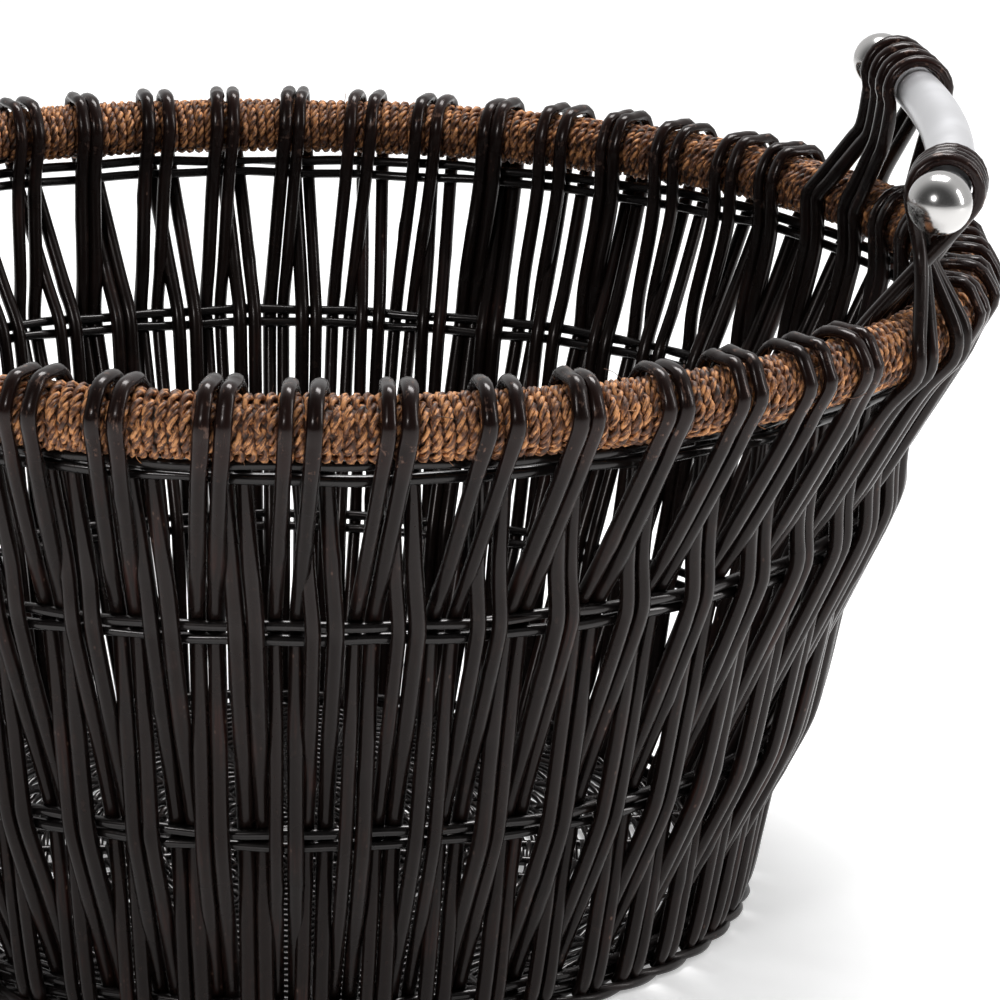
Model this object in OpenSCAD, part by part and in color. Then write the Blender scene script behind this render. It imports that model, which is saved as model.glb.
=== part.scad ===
// Round open-weave willow basket with a cord-bound rim and two bowed metal grips.
// Millimetres, +Z up. The origin is at the centre of the underside; the grips lie at +X and -X.

/* [Rim] */
// Radius of the rim's centre line, seen from above
rim_r = 190; // [160:1:230]
// Height of the rim's centre line
rim_z = 188; // [155:1:230]
// Thickness of the rim with its cord binding
rim_bound_d = 17.5; // [14:0.5:21]
// Thickness of the willow hoop inside the binding
rim_core_d = 8.4; // [6:0.2:10]

/* [Wall] */
// Thickness of one stake rod
stake_d = 3.9; // [3:0.1:4.4]
// Gap between the two rods of a hairpin pair
rod_gap = 0.2; // [0.1:0.1:1]
// Least gap between neighbouring legs where they change sides
leg_gap = 0.4; // [0.3:0.1:3]
// Share of its lean that a leg has reached at the row under the rim
neck_lean = 0.6; // [0.6:0.05:0.9]
// Thickness of one hoop rod
hoop_d = 2.7; // [1.8:0.1:2.9]
// Gap between the two hoops of a row
hoop_gap = 1.2; // [0.8:0.1:4]
// Height of the lower row
belly_row_z = 64; // [50:1:80]
// Distance from the rim's centre line down to the upper row
shoulder_drop = 60; // [48:1:83]
// Gap between the foot border and the row above it
foot_row_gap = 0.3; // [0.2:0.1:4]
// Gap between the bound rim and the row under it
neck_row_gap = 1.7; // [1.2:0.1:6]

/* [Base] */
// Radius of the wall's centre line at the foot row
base_r = 131.6; // [110:1:160]
// Width of the foot border
foot_w = 12; // [10.5:0.5:16]
// Height of the foot border
foot_h = 4.2; // [3:0.1:4.3]
// Thickness of one base stick
base_stick_d = 3; // [2.4:0.1:3]
// Thickness of one woven layer of the base
mat_t = 1.6; // [1.2:0.1:2]
// Number of loose sticks between the arms of the base cross
bye_sticks = 16; // [8:4:24]

/* [Grips] */
// Half of the distance between the two ball centres of a grip
grip_half = 102.5; // [90:0.5:115]
// Height of the grip above the rim's centre line
grip_rise = 42; // [36:1:55]
// How far the middle of the grip lies inside the rim's centre line
grip_setback = 6.3; // [0:0.1:12]
// How far the middle of the grip is bowed outwards
grip_bow = 10; // [6:0.5:14]
// Thickness of the grip tube
grip_d = 13.4; // [11:0.2:16]
// Wall of the grip tube
grip_wall = 2.1; // [1.5:0.1:2.6]
// Diameter of the ball ends
ball_d = 17.4; // [15.5:0.2:22]
// Thickness of the tie rod inside the tube
tie_rod_d = 4; // [3:0.2:5]
// Distance between the rods of a close loop
close_loop_pitch = 5.8; // [5:0.1:6.4]
// Distance between the rods of a spread loop
spread_loop_pitch = 11; // [6:0.5:12]
// Gap between the two rods of a loop pair where they leave the rim
loop_rod_gap = 3.4; // [2.6:0.1:4]

/* [Hidden] */
STAKE_GROUPS = 22;

willow = "#332b2a";
willow_base = "#2a2321";
seagrass = "#8a6238";
satin_metal = "#d5d6da";
bright_metal = "#eceef0";

$fn = 96;
ROD_SIDES = 5;
fit_gap = 0.3;
weave_gap = 0.01;
grip_play = 0.5;
spigot_gap = 0.1;

hoop_rise = (hoop_d + hoop_gap) / 2;
row_half_h = hoop_rise + hoop_d / 2;
foot_row_z = foot_h + foot_row_gap + row_half_h;
neck_row_z = rim_z - rim_bound_d / 2 - neck_row_gap - row_half_h;
shoulder_row_z = rim_z - shoulder_drop;
// Each row: its height, the side on which the outer leg passes it, and the lean of the legs there
rows = [[foot_row_z, -1, 1], [belly_row_z, 1, 1], [shoulder_row_z, -1, 1], [neck_row_z, 1, neck_lean]];
// A leg clears both hoops of a row on the slope of the wall, while it crosses over to the next row
wall_slope = atan((rim_r - base_r) / (rim_z - foot_row_z));
least_row_step = min([for (i = [1:len(rows) - 1]) rows[i][0] - rows[i - 1][0]]);
weave_offset = ((hoop_d + stake_d) / 2 / cos(wall_slope) + weave_gap) / (1 - 2 * hoop_rise / least_row_step);
leg_start_z = foot_h + fit_gap;
foot_row_top = foot_row_z + hoop_rise;

// The pairs are as many as fit side by side at the lowest place where the legs change sides
pair_w = 2 * stake_d + rod_gap;
lowest_cross_r = (wall_r(foot_row_z) + wall_r(belly_row_z)) / 2;
stake_pairs = 4 * floor(PI * lowest_cross_r / (pair_w + leg_gap) / 4);
pair_step = 360 / stake_pairs;
leg_lean = pair_step / 4;

// The arc over the rim is a polygon drawn round the bound rim
ARC_STEP = 45;
over_rim_r = ((rim_bound_d + stake_d) / 2 + fit_gap) / cos(ARC_STEP / 2);

grip_x = rim_r - grip_setback;
grip_z = rim_z + grip_rise;
bend_r = (grip_half * grip_half + grip_bow * grip_bow) / (2 * grip_bow);
bend_x = grip_x - bend_r;
ball_seat = sqrt(pow(ball_d / 2, 2) - pow(grip_d / 2, 2));
spigot_d = grip_d - 2 * grip_wall - 2 * spigot_gap;
spigot_l = 3;
ball_angle = asin(grip_half / bend_r);
seat_angle = ball_seat / bend_r * 180 / PI;
tie_angle = (ball_seat + spigot_l) / bend_r * 180 / PI;
over_grip_r = ((grip_d + stake_d) / 2 + grip_play) / cos(ARC_STEP / 2);
loop_inset = ball_d / 2 + stake_d + over_grip_r;
grip_elbow = over_grip_r + stake_d;
// The two pairs of stakes nearest to each ball rise over the grip instead of the rim
loop_pair = floor(asin((grip_half - ball_d / 2) / rim_r) / pair_step);
LOOP_PAIRS = 2;

// Radius of the wall's centre line at height z
function wall_r(z) = base_r + (rim_r - base_r) * (z - foot_row_z) / (rim_z - foot_row_z);

function unit(v) = v / norm(v);

// Place of a rod: radius, angle and height, moved sideways by off along the rim
function place(r, a, z, off) = [r * cos(a) - off * sin(a), r * sin(a) + off * cos(a), z];

// One leg from the foot to the neck; out is 1 for the outer leg and -1 for the inner leg
function leg(a, out, off) =
    let (foot_r = wall_r(foot_row_z) + out * rows[0][1] * weave_offset)
    concat(
        [for (z = [leg_start_z, foot_row_top]) place(foot_r, a - out * leg_lean, z, off)],
        [for (i = [1:3]) let (z = rows[i][0])
            place(wall_r(z) + out * rows[i][1] * weave_offset, a - out * leg_lean * rows[i][2], z, off)]
    );

function reversed(list) = [for (i = [len(list) - 1:-1:0]) list[i]];

// Points of the arc over the rim, from the inner side round to below the outer side
function over_rim(a, off, from, to) =
    [for (t = [from:-ARC_STEP:to]) place(rim_r + over_rim_r * cos(t), a, rim_z + over_rim_r * sin(t), off)];

function hairpin_path(a, off) =
    concat(leg(a, -1, off), over_rim(a, off, 180, -ARC_STEP), reversed(leg(a, 1, off)));

// Middle of the grip tube at distance y along it
function grip_x_at(y) = bend_x + sqrt(bend_r * bend_r - y * y);

// The turn of a loop rod over the grip, with an elbow below it on each side
function over_grip(y) = let (x = grip_x_at(y)) concat(
    [[x - over_grip_r, y, grip_z - grip_elbow]],
    [for (t = [180:-ARC_STEP:0]) [x + over_grip_r * cos(t), y, grip_z + over_grip_r * sin(t)]],
    [[x + over_grip_r, y, grip_z - grip_elbow]]
);

// The rods of a loop pair stand off by leg_off below the rim and by rim_off beside it
function loop_path(a, leg_off, rim_off, y) = concat(
    leg(a, -1, leg_off), over_rim(a, rim_off, 180, 180), over_grip(y),
    over_rim(a, rim_off, 0, -ARC_STEP), reversed(leg(a, 1, leg_off))
);

function is_loop(k) = let (i = min(k % (stake_pairs / 2), stake_pairs / 2 - 1 - k % (stake_pairs / 2)))
    i <= loop_pair && i > loop_pair - LOOP_PAIRS;

plain_pairs = [for (k = [0:stake_pairs - 1]) if (!is_loop(k)) k];
function pair_angle(k) = (k + 0.5) * pair_step;

// A round rod along a path; side is a direction that the path never follows
module rod(path, d, side) {
    last = len(path) - 1;
    points = [for (i = [0:last])
        let (
            t = unit(path[min(i + 1, last)] - path[max(i - 1, 0)]),
            u = unit(side - (side * t) * t),
            w = cross(t, u)
        )
        for (k = [0:ROD_SIDES - 1])
            let (turn = 360 * k / ROD_SIDES) path[i] + d / 2 * (cos(turn) * u + sin(turn) * w)];
    walls = [for (i = [0:last - 1], k = [0:ROD_SIDES - 1])
        let (a = i * ROD_SIDES + k, b = i * ROD_SIDES + (k + 1) % ROD_SIDES)
        each [[a, a + ROD_SIDES, b], [b, a + ROD_SIDES, b + ROD_SIDES]]];
    start_cap = [for (k = [0:ROD_SIDES - 1]) k];
    end_cap = [for (k = [ROD_SIDES - 1:-1:0]) last * ROD_SIDES + k];
    polyhedron(points, concat(walls, [start_cap, end_cap]));
}

function pair_offsets(gap) = [for (s = [-1, 1]) s * (stake_d + gap) / 2];

// Two parallel rods bent over the rim, with both their ends at the foot
module hairpin_pair(a) {
    for (off = pair_offsets(rod_gap)) rod(hairpin_path(a, off), stake_d, [-sin(a), cos(a), 0]);
}

module stakes(group) {
    color(willow)
        for (i = [0:len(plain_pairs) - 1])
            if (floor(i * STAKE_GROUPS / len(plain_pairs)) == group - 1)
                hairpin_pair(pair_angle(plain_pairs[i]));
}

// The rods that rise over one end of the right grip; end is -1 at the front and 1 at the rear
module grip_loop(end, pitch) {
    for (j = [0:2 * LOOP_PAIRS - 1]) {
        a = end * pair_angle(loop_pair - floor(j / 2));
        leg_off = end * pair_offsets(rod_gap)[1 - j % 2];
        rim_off = end * pair_offsets(loop_rod_gap)[1 - j % 2];
        y = end * (grip_half - loop_inset - j * pitch);
        color(willow) rod(loop_path(a, leg_off, rim_off, y), stake_d, [-sin(a), cos(a), 0]);
    }
}

module hoop(z) {
    color(willow) translate([0, 0, z]) rotate_extrude() translate([wall_r(z), 0]) circle(d = hoop_d);
}

module rim_hoop() {
    color(willow) translate([0, 0, rim_z]) rotate_extrude() translate([rim_r, 0]) circle(d = rim_core_d);
}

module rim_binding() {
    color(seagrass) translate([0, 0, rim_z]) rotate_extrude() translate([rim_r, 0]) difference() {
        circle(d = rim_bound_d);
        circle(d = rim_core_d + 2 * fit_gap);
    }
}

foot_in_r = base_r - foot_w / 2;
mat_r = foot_in_r - fit_gap;
stick_z = leg_start_z + base_stick_d / 2 - fit_gap;
foot_bevel = 1;

module foot_border() {
    color(willow) rotate_extrude() translate([foot_in_r, 0]) polygon([
        [foot_bevel, 0], [foot_w - foot_bevel, 0], [foot_w, foot_bevel], [foot_w, foot_h - foot_bevel],
        [foot_w - foot_bevel, foot_h], [foot_bevel, foot_h], [0, foot_h - foot_bevel], [0, foot_bevel]
    ]);
}

module mat(z) {
    color(willow_base) translate([0, 0, z]) cylinder(h = mat_t, r = mat_r);
}

CROSS_STICKS = 4;
cross_pitch = base_stick_d + fit_gap;
stick_half = mat_r - fit_gap;
bye_per_quarter = bye_sticks / 4;
bye_fan = 90 / (bye_per_quarter + 1);
// The loose sticks start where they are clear of the arms of the cross
bye_start_r = (CROSS_STICKS * cross_pitch / 2 + base_stick_d / 2 + fit_gap) / sin(bye_fan);

module cross_bar(i, l) {
    translate([0, (i - (CROSS_STICKS - 1) / 2) * cross_pitch, stick_z])
        rotate([0, 90, 0]) cylinder(h = l, d = base_stick_d, center = true);
}

module base_long_sticks() {
    color(willow_base) for (i = [0:CROSS_STICKS - 1]) cross_bar(i, 2 * stick_half);
}

// Each cross stick is two half sticks, whose ends butt against the long sticks
module base_cross_sticks() {
    inner = CROSS_STICKS / 2 * cross_pitch + fit_gap;
    color(willow_base) for (i = [0:CROSS_STICKS - 1], s = [0, 180])
        rotate([0, 0, 90 + s]) translate([inner, (i - (CROSS_STICKS - 1) / 2) * cross_pitch, stick_z])
            rotate([0, 90, 0]) cylinder(h = stick_half - inner - fit_gap, d = base_stick_d);
}

module base_bye_sticks() {
    color(willow_base) for (q = [0:3], i = [1:bye_per_quarter])
        rotate([0, 0, 90 * q + i * bye_fan]) translate([bye_start_r, 0, stick_z])
            rotate([0, 90, 0]) cylinder(h = stick_half - bye_start_r - fit_gap, d = base_stick_d);
}

// Puts a piece at angle a of the bowed grip, with +Y along the tube
module on_grip(a) {
    translate([bend_x, 0, grip_z]) rotate([0, 0, a]) translate([bend_r, 0, 0]) children();
}

module bowed(angle) {
    translate([bend_x, 0, grip_z]) rotate([0, 0, -angle]) rotate_extrude(angle = 2 * angle)
        translate([bend_r, 0]) children();
}

module grip_tube() {
    color(satin_metal) bowed(ball_angle - seat_angle) difference() {
        circle(d = grip_d);
        circle(d = grip_d - 2 * grip_wall);
    }
}

module tie_rod() {
    color(satin_metal) bowed(ball_angle - tie_angle) circle(d = tie_rod_d);
}

// A ball with a flat seat and a spigot that fits the tube; end is -1 at the front and 1 at the rear
module grip_ball(end) {
    color(bright_metal) on_grip(end * ball_angle) rotate([end * 90, 0, 0]) union() {
        intersection() {
            sphere(d = ball_d);
            translate([0, 0, ball_seat - ball_d]) cylinder(h = 2 * ball_d, d = 2 * ball_d, center = true);
        }
        cylinder(h = ball_seat + spigot_l, d = spigot_d);
    }
}

module left() {
    rotate([0, 0, 180]) children();
}

foot_border();
mat(stick_z - base_stick_d / 2 - fit_gap - mat_t);  // base_weave_under
base_long_sticks();
base_cross_sticks();
base_bye_sticks();
mat(stick_z + base_stick_d / 2 + fit_gap);  // base_weave_floor
hoop(foot_row_z - hoop_rise);  // foot_hoop_lower
hoop(foot_row_z + hoop_rise);  // foot_hoop_upper
hoop(belly_row_z - hoop_rise);  // belly_hoop_lower
hoop(belly_row_z + hoop_rise);  // belly_hoop_upper
hoop(shoulder_row_z - hoop_rise);  // shoulder_hoop_lower
hoop(shoulder_row_z + hoop_rise);  // shoulder_hoop_upper
hoop(neck_row_z - hoop_rise);  // neck_hoop_lower
hoop(neck_row_z + hoop_rise);  // neck_hoop_upper
rim_hoop();
rim_binding();
stakes(1);  // stakes_01
stakes(2);  // stakes_02
stakes(3);  // stakes_03
stakes(4);  // stakes_04
stakes(5);  // stakes_05
stakes(6);  // stakes_06
stakes(7);  // stakes_07
stakes(8);  // stakes_08
stakes(9);  // stakes_09
stakes(10);  // stakes_10
stakes(11);  // stakes_11
stakes(12);  // stakes_12
stakes(13);  // stakes_13
stakes(14);  // stakes_14
stakes(15);  // stakes_15
stakes(16);  // stakes_16
stakes(17);  // stakes_17
stakes(18);  // stakes_18
stakes(19);  // stakes_19
stakes(20);  // stakes_20
stakes(21);  // stakes_21
stakes(22);  // stakes_22
grip_loop(-1, close_loop_pitch);  // right_front_loop
grip_loop(1, spread_loop_pitch);  // right_rear_loop
left() grip_loop(1, spread_loop_pitch);  // left_front_loop
left() grip_loop(-1, close_loop_pitch);  // left_rear_loop
grip_tube();  // right_grip_tube
tie_rod();  // right_tie_rod
grip_ball(-1);  // right_front_ball
grip_ball(1);  // right_rear_ball
left() grip_tube();  // left_grip_tube
left() tie_rod();  // left_tie_rod
left() grip_ball(1);  // left_front_ball
left() grip_ball(-1);  // left_rear_ball
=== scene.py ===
"""Round open-weave willow basket with a cord-bound rim and bowed metal grips.

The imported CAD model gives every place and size. This script gives the basket its looks: willow rods,
twisted seagrass cord, a woven floor, a plaited foot, metal grips, and the studio that shows them.
Lengths are in metres, and +Z is up.
"""

import logging
import math
from dataclasses import dataclass, field
from enum import Enum
from typing import Iterable, Sequence

import bmesh
import bpy
import numpy as np
from mathutils import Matrix, Vector


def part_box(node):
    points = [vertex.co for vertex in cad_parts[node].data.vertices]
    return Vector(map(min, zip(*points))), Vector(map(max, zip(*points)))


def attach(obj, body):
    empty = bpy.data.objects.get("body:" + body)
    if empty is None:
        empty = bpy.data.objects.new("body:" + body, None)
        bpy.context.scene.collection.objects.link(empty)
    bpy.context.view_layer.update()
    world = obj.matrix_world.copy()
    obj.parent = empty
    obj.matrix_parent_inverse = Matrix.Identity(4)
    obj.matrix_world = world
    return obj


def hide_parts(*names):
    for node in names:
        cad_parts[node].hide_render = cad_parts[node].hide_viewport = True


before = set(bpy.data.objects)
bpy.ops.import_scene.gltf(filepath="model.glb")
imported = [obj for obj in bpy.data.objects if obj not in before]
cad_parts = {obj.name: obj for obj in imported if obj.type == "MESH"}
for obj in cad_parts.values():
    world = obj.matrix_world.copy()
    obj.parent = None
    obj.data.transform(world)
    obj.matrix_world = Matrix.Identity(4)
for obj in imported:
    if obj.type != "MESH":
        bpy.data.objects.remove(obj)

LOG = logging.getLogger("basket")
MM = 0.001
BASKET_BODY = "basket"
UP = [0.0, 0.0, 1.0]


class Side(Enum):
    """The two ends of the basket that carry a grip."""

    RIGHT = "right"
    LEFT = "left"

    @property
    def body(self) -> str:
        """Name of the body that the grip rides on."""
        return f"{self.value}_grip"


@dataclass(frozen=True)
class LoopShape:
    """Measures of a grip loop.

    Attributes:
        pitch: Distance between neighbouring rods along the tube.
        first_gap: Gap between the ball and the first rod.
        slant: Share of the pitch by which a rod moves along the tube while it turns.
        turns: Angles round the tube's section, 0 outside and 90 on top.
    """

    pitch: float
    first_gap: float
    slant: float
    turns: tuple[int, ...]


class LoopKind(Enum):
    """How the rods of a grip loop lie on the tube: side by side, or spread out along it."""

    CLOSE = LoopShape(4.2 * MM, 1.2 * MM, 0.9, (-48, -22, 5, 40, 75, 105, 140, 172, 190))
    SPREAD = LoopShape(10.5 * MM, 4.0 * MM, 0.4, (205, 178, 140, 105, 75, 40, 8, -20))


# ---------------------------------------------------------------------------------------------
# Plan of the basket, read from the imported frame
# ---------------------------------------------------------------------------------------------


@dataclass(frozen=True)
class Row:
    """One row of two hoops.

    Attributes:
        z: Height of the middle of the row.
        radius: Radius of the hoops' centre lines.
        side: Side on which the outer legs pass the row, 1 outside and -1 inside.
    """

    z: float
    radius: float
    side: int


@dataclass(frozen=True)
class BasketPlan:
    """Sizes of the basket, taken from the boxes of its CAD nodes.

    Attributes:
        rim_r: Radius of the rim's centre line.
        rim_z: Height of the rim's centre line.
        bound_r: Radius of the bound rim's section.
        hoop_r: Radius of a row hoop's section.
        rows: The rows, from the foot up.
        foot_r: Radius of the foot border's centre line.
        foot_w: Width of the foot border.
        foot_h: Height of the foot border.
        floor_r: Radius of the woven floor.
        stick_z: Height of the middle of the base sticks.
        stake_r: Radius of a stake.
        pairs: Pairs of stakes round the basket.
        groups: CAD nodes that hold the plain pairs.
        loop_pairs: Pairs that rise over a grip, counted both ways from the grip's middle.
    """

    rim_r: float
    rim_z: float
    bound_r: float
    hoop_r: float
    rows: tuple[Row, ...]
    foot_r: float
    foot_w: float
    foot_h: float
    floor_r: float
    stick_z: float
    stake_r: float = 2.2 * MM
    pairs: int = 52
    groups: int = 22
    loop_pairs: tuple[int, ...] = (4, 3)

    @classmethod
    def from_frame(cls) -> "BasketPlan":
        """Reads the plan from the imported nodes.

        Returns:
            The plan of the basket.
        """
        low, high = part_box("rim_binding")
        bound_r = (high.z - low.z) / 2
        hoop_low, hoop_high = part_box("neck_hoop_lower")
        hoop_r = (hoop_high.z - hoop_low.z) / 2
        rows = []
        for name, side in (("foot", -1), ("belly", 1), ("shoulder", -1), ("neck", 1)):
            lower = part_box(f"{name}_hoop_lower")
            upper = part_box(f"{name}_hoop_upper")
            radius = (lower[1].x + upper[1].x) / 2 - hoop_r
            rows.append(Row((lower[0].z + upper[1].z) / 2, radius, side))
        foot_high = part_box("foot_border")[1]
        floor_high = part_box("base_weave_floor")[1]
        under_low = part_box("base_weave_under")[0]
        return cls(
            rim_r=high.x - bound_r,
            rim_z=(low.z + high.z) / 2,
            bound_r=bound_r,
            hoop_r=hoop_r,
            rows=tuple(rows),
            foot_r=rows[0].radius,
            foot_w=2 * (foot_high.x - rows[0].radius),
            foot_h=foot_high.z,
            floor_r=floor_high.x,
            stick_z=(floor_high.z + under_low.z) / 2,
        )

    @property
    def pair_step(self) -> float:
        """Angle between neighbouring pairs of stakes."""
        return math.tau / self.pairs

    def wall_r(self, z: float) -> float:
        """Gives the radius of the wall's middle at height z."""
        foot = self.rows[0]
        return foot.radius + (self.rim_r - foot.radius) * (z - foot.z) / (self.rim_z - foot.z)

    def pair_angle(self, index: int) -> float:
        """Gives the angle of a pair of stakes at the rim."""
        return (index + 0.5) * self.pair_step

    def is_loop(self, index: int) -> bool:
        """Tells whether a pair rises over a grip instead of the rim."""
        half = self.pairs // 2
        place = index % half
        return min(place, half - 1 - place) in self.loop_pairs

    def plain_pairs(self) -> list[int]:
        """Gives the pairs that bend over the rim, in order."""
        return [k for k in range(self.pairs) if not self.is_loop(k)]

    def group_pairs(self, group: int) -> list[int]:
        """Gives the pairs that one stakes node holds.

        Args:
            group: Number of the node, from 1.

        Returns:
            The numbers of its pairs.
        """
        plain = self.plain_pairs()
        return [k for i, k in enumerate(plain) if i * self.groups // len(plain) == group - 1]


@dataclass(frozen=True)
class GripPlan:
    """Sizes of the right grip, from the boxes of its nodes; the left one is the same, turned.

    Attributes:
        half: Distance along Y from the tube's middle to the middle of a ball.
        z: Height of the tube's axis.
        end_x: Distance of the balls' middles from the basket's axis, along X.
        mid_x: The same for the tube's middle.
        tube_r: Radius of the tube.
        ball_r: Radius of a ball.
    """

    half: float
    z: float
    end_x: float
    mid_x: float
    tube_r: float
    ball_r: float

    @classmethod
    def from_frame(cls) -> "GripPlan":
        """Reads the plan of the grips.

        Returns:
            The plan of the right grip.
        """
        low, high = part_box("right_grip_tube")
        ball_low, ball_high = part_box("right_rear_ball")
        tube_r = (high.z - low.z) / 2
        ball_r = (ball_high.z - ball_low.z) / 2
        return cls(
            half=ball_high.y - ball_r,
            z=(low.z + high.z) / 2,
            end_x=(ball_low.x + ball_high.x) / 2,
            mid_x=high.x - tube_r,
            tube_r=tube_r,
            ball_r=ball_r,
        )

    @property
    def bend_r(self) -> float:
        """Radius of the bow of the tube."""
        bow = self.mid_x - self.end_x
        return (self.half**2 + bow**2) / (2 * bow)

    def x_at(self, y: float) -> float:
        """Gives the middle of the tube at a distance y along it."""
        return self.mid_x - self.bend_r + math.sqrt(self.bend_r**2 - y * y)

    def tangent_angle(self, y: float) -> float:
        """Gives the turn of the tube's axis from +Y, about +Z, at a distance y along it."""
        return math.asin(y / self.bend_r)


# ---------------------------------------------------------------------------------------------
# Node trees
# ---------------------------------------------------------------------------------------------


class NodeGraph:
    """Adds nodes to a tree and joins them in one call."""

    def __init__(self, tree: bpy.types.NodeTree) -> None:
        """Takes the tree that the nodes go into."""
        self.tree = tree
        self.column = 0

    def add(self, kind: str, inputs: dict | None = None, **settings) -> bpy.types.Node:
        """Adds a node.

        Args:
            kind: The node's class name.
            inputs: Values or sockets for its inputs, by name or number.
            settings: Attributes to set on the node before its inputs.

        Returns:
            The new node.
        """
        node = self.tree.nodes.new(kind)
        node.location = (180 * self.column, -40 * (self.column % 7))
        self.column += 1
        for name, value in settings.items():
            setattr(node, name, value)
        for key, value in (inputs or {}).items():
            socket = node.inputs[key]
            if isinstance(value, bpy.types.NodeSocket):
                self.tree.links.new(value, socket)
            else:
                socket.default_value = value
        return node

    def math(self, operation: str, *values, clamp: bool = False) -> bpy.types.NodeSocket:
        """Adds a Math node and gives its output."""
        node = self.add("ShaderNodeMath", dict(enumerate(values)), operation=operation, use_clamp=clamp)
        return node.outputs[0]

    def vector(self, operation: str, *values) -> bpy.types.NodeSocket:
        """Adds a Vector Math node and gives its vector output."""
        return self.vector_node(operation, *values).outputs["Vector"]

    def vector_node(self, operation: str, *values) -> bpy.types.Node:
        """Adds a Vector Math node and gives the node."""
        inputs = {}
        for i, value in enumerate(values):
            inputs["Scale" if operation == "SCALE" and i == 1 else i] = value
        return self.add("ShaderNodeVectorMath", inputs, operation=operation)

    def ramp(self, value, low: float, high: float, out_low=0.0, out_high=1.0) -> bpy.types.NodeSocket:
        """Adds a clamped Map Range node and gives its result."""
        node = self.add(
            "ShaderNodeMapRange",
            {"Value": value, "From Min": low, "From Max": high, "To Min": out_low, "To Max": out_high},
            interpolation_type="SMOOTHSTEP",
        )
        return node.outputs["Result"]

    def noise(self, vector, scale: float, detail: float = 3.0, rough: float = 0.55) -> bpy.types.NodeSocket:
        """Adds a Noise Texture and gives its factor."""
        node = self.add(
            "ShaderNodeTexNoise",
            {"Vector": vector, "Scale": scale, "Detail": detail, "Roughness": rough},
        )
        return node.outputs[0]

    def mix_colour(self, factor, first, second, blend: str = "MIX") -> bpy.types.NodeSocket:
        """Adds a colour Mix node and gives its result."""
        node = self.add("ShaderNodeMix", data_type="RGBA", blend_type=blend)
        for socket, value in ((node.inputs[0], factor), (node.inputs[6], first), (node.inputs[7], second)):
            if isinstance(value, bpy.types.NodeSocket):
                self.tree.links.new(value, socket)
            else:
                socket.default_value = value
        return node.outputs[2]


def start_tree(name: str, sockets: Iterable[tuple[str, str]]) -> bpy.types.NodeTree:
    """Starts a geometry tree with its inputs and its output.

    Args:
        name: Name of the tree.
        sockets: Name and type of each input after the geometry; the type is the end of its class name.

    Returns:
        The tree.
    """
    tree = bpy.data.node_groups.new(name, "GeometryNodeTree")
    face = tree.interface
    for socket, kind in (("Geometry", "Geometry"), *sockets):
        face.new_socket(socket, in_out="INPUT", socket_type=f"NodeSocket{kind}")
    face.new_socket("Geometry", in_out="OUTPUT", socket_type="NodeSocketGeometry")
    return tree


def finish_tree(g: NodeGraph, shape: bpy.types.NodeSocket, material: bpy.types.NodeSocket) -> None:
    """Ends a geometry tree: realizes the shape and sets its material."""
    real = g.add("GeometryNodeRealizeInstances", {"Geometry": shape}).outputs[0]
    dressed = g.add("GeometryNodeSetMaterial", {"Geometry": real, "Material": material}).outputs[0]
    g.add("NodeGroupOutput", {0: dressed})


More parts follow.
